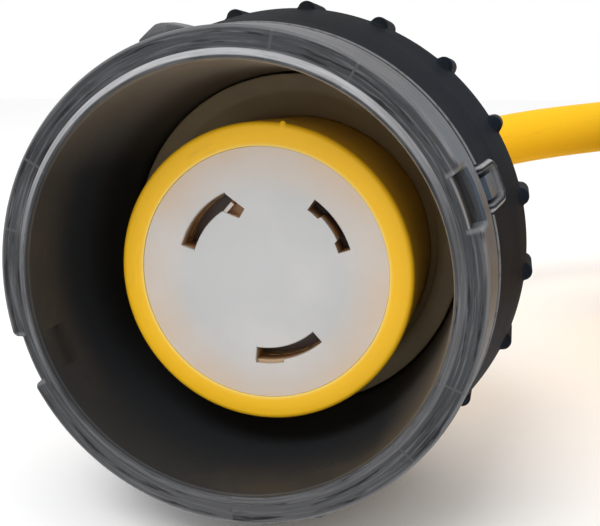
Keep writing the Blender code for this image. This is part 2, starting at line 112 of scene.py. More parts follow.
# ---------------------------------------------------------------- cord
# Three copper cores in one round jacket of soft yellow vinyl, 17 mm thick.  It leaves the
# connector's boot, swings out and up onto a neat coil of four layers, and ends in the plug.
CORD_RADIUS = 8.5 * MM
CORD_PITCH = 2 * CORD_RADIUS
CORD_SIDES = 28
COIL_CENTRE = Vector((0.2053, 0.0894, 0.0))
COIL_OUTER_TURN = 119.3 * MM
COLUMN_PITCH = 17.2 * MM
COIL_LAYERS = 4
COIL_FLOOR = 1.9 * MM
COIL_ENTRY = 116.0      # the angle round the coil at which the cord joins it, in degrees
FIRST_STEP = 250.0      # the degrees that it runs before it changes place for the first time
STEP_LENGTH = 75.0      # the degrees that each change of place takes
STEP_PITCH = 337.5      # a little under a turn, so that a place is free before it is taken
TURN_POINTS = 48
LINE_SPACING = 6 * MM


def from_axis(depth, x, up):
    """A place given from the collar's mouth and axis, in mm, as world metres."""
    return Vector((x * MM, RIM_Y + depth * MM, AXIS_Z + up * MM))


def smooth_line(knots, spacing):
    """Points about spacing apart on a smooth curve through knots."""
    places = [2 * knots[0] - knots[1]] + list(knots) + [2 * knots[-1] - knots[-2]]
    line = []
    for a, b, c, d in zip(places, places[1:], places[2:], places[3:]):
        steps = max(1, round((c - b).length / spacing))
        for i in range(steps):
            t = i / steps
            line.append(0.5 * (2 * b + (c - a) * t + (2 * a - 5 * b + 4 * c - d) * t ** 2
                               + (3 * b - a - 3 * c + d) * t ** 3))
    line.append(places[-2])
    return line


def coil_line():
    """The turns of the coil: down the outer column, then up in layers of two turns each."""
    stack = [(0, layer) for layer in range(COIL_LAYERS - 1, -1, -1)]
    for layer in range(COIL_LAYERS):
        stack += [(column, layer) for column in ((1, 2), (2, 1))[layer % 2]]
    places = [(COIL_OUTER_TURN - column * COLUMN_PITCH, COIL_FLOOR + (layer + 0.5) * CORD_PITCH)
              for column, layer in stack]
    travel = FIRST_STEP + STEP_PITCH * (len(places) - 1)
    count = round(TURN_POINTS * travel / 360)
    line = []
    for i in range(count):
        run = travel * i / count
        radius, height = places[0]
        for step, (here, there) in enumerate(zip(places, places[1:])):
            t = min(1.0, max(0.0, (run - FIRST_STEP - step * STEP_PITCH) / STEP_LENGTH))
            share = (1 - math.cos(math.pi * t)) / 2
            radius += (there[0] - here[0]) * share
            height += (there[1] - here[1]) * share
        angle = math.radians(COIL_ENTRY - run)
        line.append(COIL_CENTRE + Vector((radius * math.cos(angle), radius * math.sin(angle), height)))
    return line


# The route out of the boot is given from the collar's axis, and the end's from the coil's centre.
LEAD_ROUTE = (
    from_axis(57.0, 0.75, -1.2), from_axis(80.0, 0.75, -1.2), from_axis(103.0, 0.8, -1.0),
    from_axis(124.0, 2.4, 0.2), from_axis(146.0, 8.6, 3.4), from_axis(168.0, 21.4, 8.0),
    from_axis(187.0, 39.4, 12.2), from_axis(203.0, 64.5, 15.4), from_axis(215.4, 90.5, 17.2),
)
TAIL_RISE = ((-40.7, 93.6, 61.4), (-29.4, 97.6, 62.0), (-17.6, 100.0, 63.6), (-5.7, 100.6, 66.5),
             (6.3, 99.5, 70.6), (14.0, 97.9, 74.2))
TAIL_ROUTE = (
    (21.4, 95.6, 77.9), (29.1, 92.4, 81.7), (39.5, 86.5, 85.9), (49.0, 79.1, 88.8),
    (57.3, 70.5, 90.6), (64.8, 60.0, 91.2), (75.1, 42.8, 91.2), (87.5, 22.3, 91.2),
)


def link_node(tree, kind, inputs=None, **settings):
    """A shader node with its settings; an input is given as a value, or as a socket to link."""
    made = tree.nodes.new("ShaderNode" + kind)
    for name, value in settings.items():
        setattr(made, name, value)
    for name, value in (inputs or {}).items():
        if isinstance(value, bpy.types.NodeSocket):
            tree.links.new(value, made.inputs[name])
        else:
            made.inputs[name].default_value = value
    return made


def finish(name, colour, roughness, metallic=0.0, **sockets):
    """A material whose Principled shader has these constants."""
    material = bpy.data.materials.new(name)
    material.use_nodes = True
    shader = material.node_tree.nodes["Principled BSDF"]
    shader.inputs["Base Color"].default_value = (*colour, 1.0)
    shader.inputs["Roughness"].default_value = roughness
    shader.inputs["Metallic"].default_value = metallic
    for socket, value in sockets.items():
        shader.inputs[socket.replace("_", " ")].default_value = value
    return material


def noise(material, scale, stretch=(1.0, 1.0, 1.0), detail=4.0, rough=0.55, on="Object"):
    """The strength of a noise on the piece: scale counts its blotches to the metre."""
    tree = material.node_tree
    if isinstance(on, str):
        on = link_node(tree, "TexCoord").outputs[on]
    spread = link_node(tree, "Mapping", {"Vector": on, "Scale": stretch})
    made = link_node(tree, "TexNoise", {"Vector": spread.outputs[0], "Scale": scale, "Detail": detail,
                                        "Roughness": rough})
    return made.outputs["Fac"]


def between(material, strength, low, high):
    """The strength stretched so that low gives 0 and high gives 1, and held there beyond them."""
    made = link_node(material.node_tree, "MapRange", {"Value": strength, "From Min": low, "From Max": high})
    return made.outputs[0]


def tint(material, strength, colour):
    """Lay a colour over the material's own where strength is above 0."""
    tree = material.node_tree
    base = tree.nodes["Principled BSDF"].inputs["Base Color"]
    under = base.links[0].from_socket if base.links else tuple(base.default_value)
    made = link_node(tree, "Mix", {0: strength, 6: under, 7: (*colour, 1.0)}, data_type="RGBA")
    tree.links.new(made.outputs[2], base)


def relief(material, height, distance, strength=1.0):
    """Raise the surface by up to distance, in metres, where height is 1."""
    tree = material.node_tree
    normal = tree.nodes["Principled BSDF"].inputs["Normal"]
    made = link_node(tree, "Bump", {"Height": height, "Distance": distance, "Strength": strength})
    if normal.links:
        tree.links.new(normal.links[0].from_socket, made.inputs["Normal"])
    tree.links.new(made.outputs[0], normal)


def blotch(material, colour, low, high, *pattern, **kind):
    """Lay a colour over the material where a noise passes from low to high."""
    tint(material, between(material, noise(material, *pattern, **kind), low, high), colour)


def grain(material, distance, *pattern, **kind):
    """Raise the surface by a noise."""
    relief(material, noise(material, *pattern, **kind), distance)


def worn(material, low, high, *pattern, **kind):
    """Let the roughness wander from low to high with a noise."""
    tree = material.node_tree
    value = noise(material, *pattern, **kind)
    made = link_node(tree, "MapRange", {"Value": value, "To Min": low, "To Max": high})
    tree.links.new(made.outputs[0], tree.nodes["Principled BSDF"].inputs["Roughness"])


def settle(piece, material, slot, body, *stands_for, crease=40.0):
    """Give a piece its material and shading, and fix it to its body in place of plain solids."""
    piece.data.shade_smooth()
    piece.data.set_sharp_from_angle(angle=math.radians(crease))
    piece.data.materials.clear()
    piece.data.materials.append(material)
    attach(piece, body)
    if stands_for:
        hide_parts(*stands_for)
    return piece


def tube(name, line, radius, sides):
    """A round tube with closed ends along a line, mapped in metres along and round it."""
    curve = bpy.data.curves.new(name, "CURVE")
    curve.dimensions = "3D"
    curve.bevel_depth = radius
    curve.bevel_resolution = (sides - 4) // 2
    curve.use_fill_caps = True
    spline = curve.splines.new("POLY")
    spline.points.add(len(line) - 1)
    for point, place in zip(spline.points, line):
        point.co = (*place, 1.0)
    carrier = placed(name + "_line", curve)
    bpy.context.view_layer.update()
    mesh = bpy.data.meshes.new_from_object(carrier.evaluated_get(bpy.context.evaluated_depsgraph_get()))
    bpy.data.objects.remove(carrier)
    reach = [0.0]
    for a, b in zip(line, line[1:]):
        reach.append(reach[-1] + (b - a).length)
    for corner in mesh.uv_layers[0].data:
        corner.uv = (reach[round(corner.uv.x * (len(line) - 1))], corner.uv.y * 2 * math.pi * radius)
    shape = bmesh.new()
    shape.from_mesh(mesh)
    bmesh.ops.remove_doubles(shape, verts=shape.verts, dist=0.01 * MM)
    bmesh.ops.recalc_face_normals(shape, faces=shape.faces)
    shape.to_mesh(mesh)
    shape.free()
    mesh.name = name
    return placed(name, mesh)


turns = coil_line()
lead_in = smooth_line([*LEAD_ROUTE, turns[0], turns[4], turns[8]], LINE_SPACING)
lead_in = [place for place in lead_in if place.x < turns[0].x - 0.002]
tail = [COIL_CENTRE + Vector(place) * MM for place in TAIL_RISE + TAIL_ROUTE]
lead_out = smooth_line([turns[-2], turns[-1], *tail], LINE_SPACING)
cord_line = lead_in + turns[:-2] + lead_out

jacket = finish("jacket_vinyl", (0.79, 0.445, 0.020), 0.5, Specular_IOR_Level=0.01)
blotch(jacket, (0.88, 0.51, 0.020), 0.35, 0.75, 9.0)
blotch(jacket, (0.70, 0.38, 0.03), 0.60, 0.82, 260.0, (0.12, 1.0, 1.0), 8.0, 0.6, "UV")
grain(jacket, 0.06 * MM, 900.0, (0.08, 1.0, 1.0), 6.0, 0.6, "UV")
grain(jacket, 0.02 * MM, 2600.0, detail=2.0)
worn(jacket, 0.30, 0.58, 120.0, (0.3, 1.0, 1.0), 5.0, 0.6, "UV")

cord = tube("yellow_cord", cord_line, CORD_RADIUS, CORD_SIDES)
settle(cord, jacket, "cord_yellow", "connector", "cord_lead", "cord_coil", "cord_tail")

# ---------------------------------------------------------------- collar sleeve
# The grey nylon sleeve that screws over a ring on the vehicle: a flanged mouth, a barrel and a
# rear wall in one moulding.  Two notches and two wedge lugs interrupt the flange, and two latch
# pegs hold the grip ring.
FACING = Matrix.Rotation(math.pi / 2, 4, "X")      # local Z out of the mouth, X right, Y up
COLLAR = Matrix.Translation((0.0, RIM_Y, AXIS_Z)) @ FACING
FLANGE_RADIUS = 37.5
FLANGE_REAR = 11.4
BARREL_RADIUS = 36.2
NOTCH_ANGLE = 22.0                # angles on the collar run anticlockwise from the right, in degrees
NOTCH_HALF = 6.0                  # half of a notch's floor, in degrees
NOTCH_RADIUS = 35.4
NOTCH_REAR = 5.2
PEG_ANGLE = 21.2
PEG_HALF = 2.75
PEG_ENDS = (13.35, 20.15)
LUG_CENTRE = 108.0
LUG_ENDS = (5.2, 11.25)
LUG_RISE = ((-6.4, 0.0), (-5.4, 0.55), (-2.6, 1.5), (-1.0, 2.0), (0.6, 2.1), (5.2, 1.0), (5.8, 0.0))
ARC_STEPS = 3


def revolved(outline, angles, fine=()):
    """Turn an outline of (depth, radius, rounding) points, in mm, through all the angles given.

    The outline closes on itself unless it starts on the axis.  Within fine, a list of (depth,
    depth, radius, radius, spacing), its edges are cut into pieces no longer than spacing.
    """
    shape = bmesh.new()
    points = [shape.verts.new((radius * MM, 0.0, -depth * MM)) for depth, radius, _ in outline]
    for a, b in zip(points, points[1:]):
        shape.edges.new((a, b))
    if outline[0][1] > 0:
        shape.edges.new((points[-1], points[0]))
    corners = {}
    for point, (_, _, rounding) in zip(points, outline):
        corners.setdefault(rounding, []).append(point)
    for rounding, group in corners.items():
        if rounding:
            bmesh.ops.bevel(shape, geom=group, offset=rounding * MM, offset_type="OFFSET",
                            affect="VERTICES", segments=ARC_STEPS, profile=0.5, material=-1)
    for near, far, low, high, spacing in fine:
        for edge in shape.edges[:]:
            middle = (edge.verts[0].co + edge.verts[1].co) / 2 / MM
            if near < -middle.z < far and low < middle.x < high:
                cuts = int(edge.calc_length() / (spacing * MM))
                bmesh.ops.subdivide_edges(shape, edges=[edge], cuts=cuts)
    bmesh.ops.spin(shape, geom=shape.verts[:] + shape.edges[:], cent=(0, 0, 0), axis=(0, 0, 1),
                   dvec=(0, 0, 0), angle=2 * math.pi, steps=len(angles), use_merge=True)
    for vert in shape.verts:
        reach = math.hypot(vert.co.x, vert.co.y)
        turn = math.atan2(vert.co.y, vert.co.x) / (2 * math.pi) * len(angles)
        angle = math.radians(angles[round(turn) % len(angles)])
        vert.co.x = reach * math.cos(angle)
        vert.co.y = reach * math.sin(angle)
    bmesh.ops.remove_doubles(shape, verts=shape.verts, dist=0.002 * MM)
    bmesh.ops.recalc_face_normals(shape, faces=shape.faces)
    return shape


def meridians(coarse, stretches=()):
    """Angles all round, coarse degrees apart, and closer inside each (low, high, spacing) stretch."""
    angles = [i * coarse for i in range(round(360 / coarse))]
    for low, high, spacing in stretches:
        steps = round((high - low) / spacing)
        angles = [angle for angle in angles if not 0 < (angle - low) % 360 < high - low]
        angles += [(low + (high - low) * i / steps) % 360 for i in range(steps + 1)]
    angles.sort()
    return [angle for angle, after in zip(angles, angles[1:] + [angles[0] + 360]) if after - angle > 0.04]


def ramp(value, low, high):
    """0 below low, 1 above high, and an even S between them."""
    t = min(1.0, max(0.0, (value - low) / (high - low)))
    return t * t * (3 - 2 * t)


def steps_through(value, places):
    """The height at a value along a broken line of (value, height) points."""
    for (a, low), (b, high) in zip(places, places[1:]):
        if a <= value <= b:
            return low + (high - low) * (value - a) / (b - a)
    return 0.0


def reshape(shape, rule):
    """Give every point the radius that the rule says for its angle, depth and radius."""
    for vert in shape.verts:
        radius = math.hypot(vert.co.x, vert.co.y) / MM
        angle = math.degrees(math.atan2(vert.co.y, vert.co.x)) % 360
        if radius > 0:
            grown = rule(angle, -vert.co.z / MM, radius) / radius
            vert.co.x *= grown
            vert.co.y *= grown


def off(angle, centre, half_turn=True):
    """How many degrees an angle lies past a centre, or past the one opposite where that is nearer."""
    period = 180 if half_turn else 360
    return (angle - centre + period / 2) % period - period / 2


def piece_from(name, shape, place):
    """Put a shape where it belongs and make it a piece."""
    bmesh.ops.transform(shape, matrix=place, verts=shape.verts)
    mesh = bpy.data.meshes.new(name)
    shape.to_mesh(mesh)
    shape.free()
    return placed(name, mesh)


def notch_wall(angle):
    """How far the notch's end has risen from its floor, as a share: a short wall, then a round."""
    wall = 0.12
    past = (abs(off(angle, NOTCH_ANGLE)) - NOTCH_HALF) * math.radians(FLANGE_RADIUS)
    if past <= wall:
        return 0.3 * max(0.0, past / wall)
    return 0.3 + 0.7 * math.sqrt(1 - (1 - min(1.0, past - wall)) ** 2)


def sleeve_radius(angle, depth, radius):
    """The sleeve's radius with its lugs, notches and pegs."""
    if LUG_ENDS[0] - 0.2 < depth < LUG_ENDS[1] + 0.05 and radius > 37:
        rise = steps_through(off(angle, LUG_CENTRE), LUG_RISE)
        radius += rise * ramp(depth, LUG_ENDS[0], 5.6) * (1 - ramp(depth, 10.8, LUG_ENDS[1]))
    if radius > NOTCH_RADIUS and depth < 7:
        notch = (1 - notch_wall(angle)) * (1 - ramp(depth, NOTCH_REAR, NOTCH_REAR + 0.5))
        radius += (NOTCH_RADIUS + (radius - NOTCH_RADIUS) * 0.25 - radius) * notch
    if PEG_ENDS[0] - 0.05 < depth < PEG_ENDS[1] + 0.05 and 36 < radius < 38:
        peg = 1 - ramp(abs(off(angle, PEG_ANGLE)), PEG_HALF - 0.13, PEG_HALF + 0.13)
        height = 2.75 + 0.13 * (depth - 13.3)
        radius += height * peg * ramp(depth, PEG_ENDS[0], 13.75) * (1 - ramp(depth, 19.9, PEG_ENDS[1]))
    return radius


sleeve_outline = (
    (-0.7, 32.8, 0.25), (-0.7, 33.4, 0.2), (0, 34.25, 0.15), (0, FLANGE_RADIUS, 0.55),
    (FLANGE_REAR, 38.45, 0.35), (FLANGE_REAR, BARREL_RADIUS, 0), (12.8, BARREL_RADIUS, 0),
    (20.8, BARREL_RADIUS, 0), (47, BARREL_RADIUS, 0.5), (47, 30, 0.3), (44, 30, 0.2), (44, 31.7, 0.4),
    (0.3, 32.62, 0.3),
)
close_angles = []
for half in (0, 180):
    for middle, reach in ((NOTCH_ANGLE - 6.9, 1.05), (NOTCH_ANGLE + 6.9, 1.05), (PEG_ANGLE - 2.7, 0.4),
                          (PEG_ANGLE + 2.7, 0.4)):
        close_angles.append((middle - reach + half, middle + reach + half, 0.11))
    close_angles.append((LUG_CENTRE - 6.6 + half, LUG_CENTRE + 6.0 + half, 0.4))
shape = revolved(sleeve_outline, meridians(2.0, close_angles),
                 ((0, 11.4, 37.4, 38.7, 0.3), (-0.1, 0.1, 34.2, 37.6, 0.4), (12.7, 20.9, 36.1, 36.3, 0.2),
                  (0.3, 44, 31.6, 32.7, 4.0), (20.8, 47, 36.1, 36.3, 4.0)))
reshape(shape, sleeve_radius)


def mark_wear_and_painted_light(shape, rule):
    """Store on every point, by the rule, how pale it is painted for wear and painted light, or below 0 how
    dark it is painted for painted shade.
    """
    layer = shape.verts.layers.float.new("wear_and_painted_light")
    for vert in shape.verts:
        angle = math.degrees(math.atan2(vert.co.y, vert.co.x)) % 360
        vert[layer] = rule(angle, -vert.co.z / MM, math.hypot(vert.co.x, vert.co.y) / MM)


def sleeve_wear_and_painted_light(angle, depth, radius):
    """Painted light makes the lip palest at its top; the notches are worn pale at their edges, and painted
    shade lies dark on their floors.
    """
    if depth < 0.1 and radius < 34.3:
        upper = ramp(math.sin(math.radians(angle - 8)), 0.1, 1.0)
        return (0.12 + 0.74 * upper) * ramp(radius, 33.2, 33.45) if depth < -0.02 else 0.1
    beside_notch = abs(off(angle, NOTCH_ANGLE))
    if beside_notch < 5.9 and 0.7 < depth < 5.4 and radius < 36.4:
        return -1.0
    if beside_notch < 8.2 and depth < 6.3 and radius > 35.3:
        on_wall = ramp(beside_notch, 5.8, 6.4) * (1 - ramp(beside_notch, 7.2, 8.2))
        front_edge = (1 - ramp(depth, 0.15, 0.7)) * ramp(radius, 35.5, 35.8)
        return max(0.22 * on_wall * (1 - ramp(beside_notch, 6.6, 7.6)),
                   0.42 * front_edge * (1 - ramp(beside_notch, 5.8, 6.2)))
    if depth < 0.6 and radius > 37.0:
        return 0.22
    return 0.2 if 11.1 < depth < 11.45 and radius > 38.0 else 0.0


mark_wear_and_painted_light(shape, sleeve_wear_and_painted_light)
ARC_SCALE = 0.0375                # metres to the radian, true at the flange's edge


def around(material, centre):
    """Places on a turned piece: metres round it from the top, radius and depth, as one and apart."""
    tree = material.node_tree
    spot = link_node(tree, "TexCoord").outputs["Object"]
    moved = link_node(tree, "Mapping", {"Vector": spot, "Location": centre}, vector_type="TEXTURE")
    split = link_node(tree, "SeparateXYZ", {0: moved.outputs[0]})
    across = split.outputs[0]
    up = split.outputs[2]
    angle = link_node(tree, "Math", {0: across, 1: up}, operation="ARCTAN2")
    arc = link_node(tree, "Math", {0: angle.outputs[0], 1: ARC_SCALE}, operation="MULTIPLY")
    flat = link_node(tree, "CombineXYZ", {0: across, 1: up})
    radius = link_node(tree, "VectorMath", {0: flat.outputs[0]}, operation="LENGTH")
    places = (arc.outputs[0], radius.outputs["Value"], split.outputs[1])
    return link_node(tree, "CombineXYZ", dict(enumerate(places))).outputs[0], *places


def world_place(material, axis):
    """One of the piece's world coordinates, in metres."""
    spot = link_node(material.node_tree, "TexCoord").outputs["Object"]
    return link_node(material.node_tree, "SeparateXYZ", {0: spot}).outputs[axis]


def reckon(material, operation, *values):
    """The result of a sum on numbers or sockets."""
    return link_node(material.node_tree, "Math", dict(enumerate(values)), operation=operation).outputs[0]


def times(material, a, b):
    """The product of two strengths."""
    return reckon(material, "MULTIPLY", a, b)


def near(material, place, inner, outer):
    """1 within inner metres of a place in the world and 0 beyond outer."""
    tree = material.node_tree
    spot = link_node(tree, "TexCoord").outputs["Object"]
    away = link_node(tree, "VectorMath", {0: spot, 1: place}, operation="DISTANCE")
    return between(material, away.outputs["Value"], outer, inner)


collar_centre = (0.0, RIM_Y, AXIS_Z)
grey = finish("sleeve_nylon", (0.032, 0.034, 0.037), 0.45, Specular_IOR_Level=0.15)
ring_grain, sleeve_arc, sleeve_reach, sleeve_depth = around(grey, collar_centre)
blotch(grey, (0.048, 0.050, 0.054), 0.35, 0.75, 60.0, detail=3.0)
# Painted light: the sleeve is painted paler on its lower side, fading in from 26 mm down to 6 mm above the
# table.
tint(grey, between(grey, world_place(grey, 2), 26 * MM, 6 * MM), (0.070, 0.071, 0.074))
flow = noise(grey, 2400.0, (0.03, 1.0, 0.25), 6.0, 0.65, ring_grain)
tint(grey, between(grey, flow, 0.50, 0.66), (0.105, 0.106, 0.112))
blotch(grey, (0.012, 0.012, 0.014), 0.46, 0.36, 1300.0, (0.07, 1.0, 0.3), 5.0, 0.6, ring_grain)
# Painted light: the flange's outer edge is painted paler all round, in scratch-like streaks.
outer_band = times(grey, between(grey, sleeve_reach, 37.35 * MM, 37.6 * MM),
                   between(grey, sleeve_depth, 0.2 * MM, 0.5 * MM))
band_grain = noise(grey, 1500.0, (0.06, 1.0, 1.0), 6.0, 0.7, ring_grain)
tint(grey, times(grey, outer_band, between(grey, band_grain, 0.35, 0.75)), (0.13, 0.13, 0.137))
# Painted reflection: on its right side the flange's outer edge is painted darker and bluer, with paler blue
# streaks.
right_band = times(grey, outer_band, between(grey, world_place(grey, 0), 22 * MM, 36 * MM))
tint(grey, right_band, (0.040, 0.056, 0.080))
tint(grey, times(grey, right_band, between(grey, band_grain, 0.45, 0.62)), (0.066, 0.086, 0.115))


def within(material, value, low, high, soft):
    """1 where a number lies between low and high, fading over soft outside them."""
    above = between(material, value, low - soft, low)
    return times(material, above, between(material, value, high + soft, high))


MOULD_LINES = ((10.5, 0.12), (30.5, 0.1), (111.5, 0.1), (131.5, 0.1), (-78.5, 0.1), (-60.5, 0.1))
for angle, width in MOULD_LINES:            # in degrees from the top, clockwise, and mm
    place = math.radians(angle) * ARC_SCALE
    line = within(grey, sleeve_arc, place - width * MM, place + width * MM, 0.2 * MM)
    tint(grey, times(grey, line, between(grey, sleeve_depth, 0.8 * MM, 0.1 * MM)), (0.060, 0.061, 0.064))
# Painted shade: the bore is painted darker than the rest of the sleeve.
bore_band = between(grey, sleeve_reach, 32.95 * MM, 32.7 * MM)
tint(grey, bore_band, (0.0210, 0.0230, 0.0260))
# Painted reflection: the bore is painted tan towards its upper right, for the yellow body's light reflected
# there.
from_painted_reflection = reckon(grey, "ABSOLUTE", reckon(grey, "SUBTRACT", sleeve_arc, 25 * MM))
tint(grey, times(grey, bore_band, between(grey, from_painted_reflection, 66 * MM, 12 * MM)), (0.300, 0.245, 0.185))
mouth_zone = times(grey, bore_band, between(grey, sleeve_depth, 13 * MM, 3 * MM))
tint(grey, times(grey, mouth_zone, between(grey, noise(grey, 40.0, (1.0, 1.0, 0.6), 4.0, 0.6), 0.45, 0.95)),
     (0.075, 0.058, 0.040))
wear_and_painted_light = link_node(grey.node_tree, "Attribute", attribute_name="wear_and_painted_light").outputs["Fac"]
# Painted shade darkens the notches' floors; the pale tint is wear on the edges and painted light on the lip's
# top.
tint(grey, between(grey, wear_and_painted_light, -0.2, -0.9), (0.016, 0.016, 0.018))
tint(grey, times(grey, wear_and_painted_light, between(grey, band_grain, 0.0, 0.6)), (0.46, 0.46, 0.475))
relief(grey, flow, 0.06 * MM)
grain(grey, 0.02 * MM, 3800.0, detail=3.0)
ejector_mark = from_axis(6.5, 32.4 * math.cos(math.radians(-66)), 32.4 * math.sin(math.radians(-66)))
relief(grey, near(grey, ejector_mark, 1.2 * MM, 1.45 * MM), 0.12 * MM, 0.8)
worn(grey, 0.34, 0.50, 140.0, (0.2, 1.0, 1.0), 5.0, 0.6, ring_grain)
settle(piece_from("sleeve", shape, COLLAR), grey, "collar_grey", "locking_collar", "collar_sleeve")

# ---------------------------------------------------------------- grip ring
# The black grip is a cone of harder plastic pushed over the barrel until two pegs snap into its
# windows.  Twenty short half-round ribs give the fingers hold, and a bead stiffens each window.
RIB_COUNT = 20
RIB_ANGLE = 14.0
RIB_RADIUS = 1.6
RIB_CENTRE = 42.4
RIB_ENDS = (36.9, 46.9)
RIB_TURN = 360 / RIB_COUNT
RING_FRONT = 12.4
WINDOW_ANGLE = 21.3
WINDOW_HALF = 2.45
WINDOW_END = 21.5
WINDOW_CORNER = 1.0
BEAD_WIDTH = 1.2
BEAD_HEIGHT = 0.5


def from_window(angle, depth, radius):
    """How far a place on the ring lies outside the nearer window's edge, in mm."""
    past = off(angle, WINDOW_ANGLE)
    if depth > 26 or radius < 36 or abs(past) > 15:
        return 99.0
    aside = abs(radius * math.sin(math.radians(past)))
    return math.hypot(max(aside - WINDOW_HALF + WINDOW_CORNER, 0.0),
                      max(depth - WINDOW_END + WINDOW_CORNER, 0.0)) - WINDOW_CORNER


def ring_radius(angle, depth, radius):
    """The ring's radius with its ribs, which meet it in a fillet, and the beads round its windows."""
    if radius < 37.5:
        return radius
    off_rib = (angle - RIB_ANGLE + RIB_TURN / 2) % RIB_TURN - RIB_TURN / 2
    across = radius * math.sin(math.radians(off_rib))
    beyond = max(RIB_ENDS[0] - depth, depth - RIB_ENDS[1], 0.0)
    left = RIB_RADIUS ** 2 - across ** 2 - beyond ** 2
    if left > -2.0:
        crest = RIB_CENTRE + (math.sqrt(left) if left > 0 else left)
        soft = 0.5
        blend = max(soft - abs(radius - crest), 0.0) / soft
        radius = max(radius, crest) + blend ** 2 * soft / 4
    edge = from_window(angle, depth, radius)
    if -0.3 < edge < BEAD_WIDTH:
        radius += BEAD_HEIGHT * (1 - (2 * edge / BEAD_WIDTH - 1) ** 2)
    return radius


def ring_wear_and_painted_light(angle, depth, radius):
    """Both edges of each bead are painted pale, worn and with a painted highlight along them, and the ring's
    front edge is worn pale.
    """
    edge = from_window(angle, depth, radius)
    if edge < BEAD_WIDTH + 0.3 and radius > 37.6:
        inner = 1 - ramp(abs(edge - 0.05), 0.1, 0.35)
        outer = 1 - ramp(abs(edge - 0.9), 0.1, 0.35)
        return max(0.35 * inner, 0.85 * outer)
    if depth < 12.75 and radius > 38.4:
        return 0.4
    return 0.0


def carved(shape, tool, operation="DIFFERENCE"):
    """Cut a tool out of a shape, or join it on, and use the tool up."""
    pair = []
    for part in (shape, tool):
        mesh = bpy.data.meshes.new("carving")
        part.to_mesh(mesh)
        pair.append(placed("carving", mesh))
    step = pair[0].modifiers.new("carve", "BOOLEAN")
    step.operation = operation
    step.object = pair[1]
    step.solver = "EXACT"
    bpy.context.view_layer.update()
    depsgraph = bpy.context.evaluated_depsgraph_get()
    result = bpy.data.meshes.new_from_object(pair[0].evaluated_get(depsgraph))
    shape.clear()
    shape.from_mesh(result)
    tool.free()
    for thing in pair:
        bpy.data.objects.remove(thing)
    bmesh.ops.remove_doubles(shape, verts=shape.verts, dist=0.001 * MM)
    return shape


def slab(outline, low, high):
    """A flat outline of (x, y) points, in mm, made thick between two heights."""
    shape = bmesh.new()
    face = shape.faces.new([shape.verts.new((x * MM, y * MM, low * MM)) for x, y in outline])
    grown = bmesh.ops.extrude_face_region(shape, geom=[face])
    top = [item for item in grown["geom"] if isinstance(item, bmesh.types.BMVert)]
    bmesh.ops.translate(shape, vec=(0, 0, (high - low) * MM), verts=top)
    bmesh.ops.recalc_face_normals(shape, faces=shape.faces)
    return shape


def arc_points(centre_x, centre_y, radius, start, end, count):
    """Points on an arc, in mm and degrees."""
    angles = [math.radians(start + (end - start) * i / count) for i in range(count + 1)]
    return [(centre_x + radius * math.cos(turn), centre_y + radius * math.sin(turn)) for turn in angles]


ring_outline = (
    (RING_FRONT, 36.5, 0.15), (RING_FRONT, 38.75, 0.4), (25.0, 40.77, 0), (36.2, 42.6, 0.3),
    (37.1, 42.75, 0.4), (46.5, 42.3, 0.6), (49.0, 41.35, 0.8), (50.3, 39.25, 0.6), (50.3, 33, 0.3),
    (47.3, 33, 0.2), (47.3, 36.5, 0.3),
)
rib_angles = [RIB_ANGLE + RIB_TURN * i for i in range(RIB_COUNT)]
ring_stretches = [(angle - 2.6, angle + 2.6, 0.26) for angle in rib_angles]
ring_stretches += [(15.9 + half, 27.3 + half, 0.22) for half in (0, 180)]
shape = revolved(ring_outline, meridians(1.5, ring_stretches),
                 ((12.8, 25.0, 38.6, 40.9, 0.3), (25.0, 36.3, 40.6, 42.7, 1.5),
                  (36.0, 49.0, 41.3, 42.8, 0.45), (RING_FRONT, 47.3, 36.4, 36.6, 6.0)))
reshape(shape, ring_radius)
corner_x = WINDOW_HALF - WINDOW_CORNER
corner_y = WINDOW_CORNER - WINDOW_END
window_outline = ([(WINDOW_HALF, -9.0), (-WINDOW_HALF, -9.0)]
                  + arc_points(-corner_x, corner_y, WINDOW_CORNER, 180, 270, 6)
                  + arc_points(corner_x, corner_y, WINDOW_CORNER, 270, 360, 6))
upright = Matrix.Rotation(math.pi / 2, 4, "X") @ Matrix.Scale(-1, 4, (0, 0, 1))
for half in (0, 180):
    window = slab(window_outline, 34.0, 46.0)
    stand = Matrix.Rotation(math.radians(WINDOW_ANGLE + half - 90), 4, "Z") @ upright
    bmesh.ops.transform(window, matrix=stand, verts=window.verts)
    bmesh.ops.recalc_face_normals(window, faces=window.faces)
    carved(shape, window)
mark_wear_and_painted_light(shape, ring_wear_and_painted_light)

black = finish("grip_plastic", (0.0065, 0.0076, 0.0092), 0.6, Specular_IOR_Level=0.015)
grip_grain = around(black, collar_centre)[0]
blotch(black, (0.0100, 0.0116, 0.0138), 0.40, 0.75, 45.0, detail=4.0)
scuffs = noise(black, 420.0, (0.12, 1.0, 1.0), 9.0, 0.72, grip_grain)
# Painted reflection: the ring is painted a little paler and bluer towards its right side.
tint(black, between(black, world_place(black, 0), 8 * MM, 38 * MM), (0.0070, 0.0105, 0.0170))
tint(black, between(black, scuffs, 0.60, 0.85), (0.034, 0.037, 0.042))
blotch(black, (0.050, 0.052, 0.056), 0.68, 0.85, 1500.0, (1.0, 1.0, 0.08), 5.0, 0.6, grip_grain)
wear_and_painted_light = link_node(black.node_tree, "Attribute", attribute_name="wear_and_painted_light").outputs["Fac"]
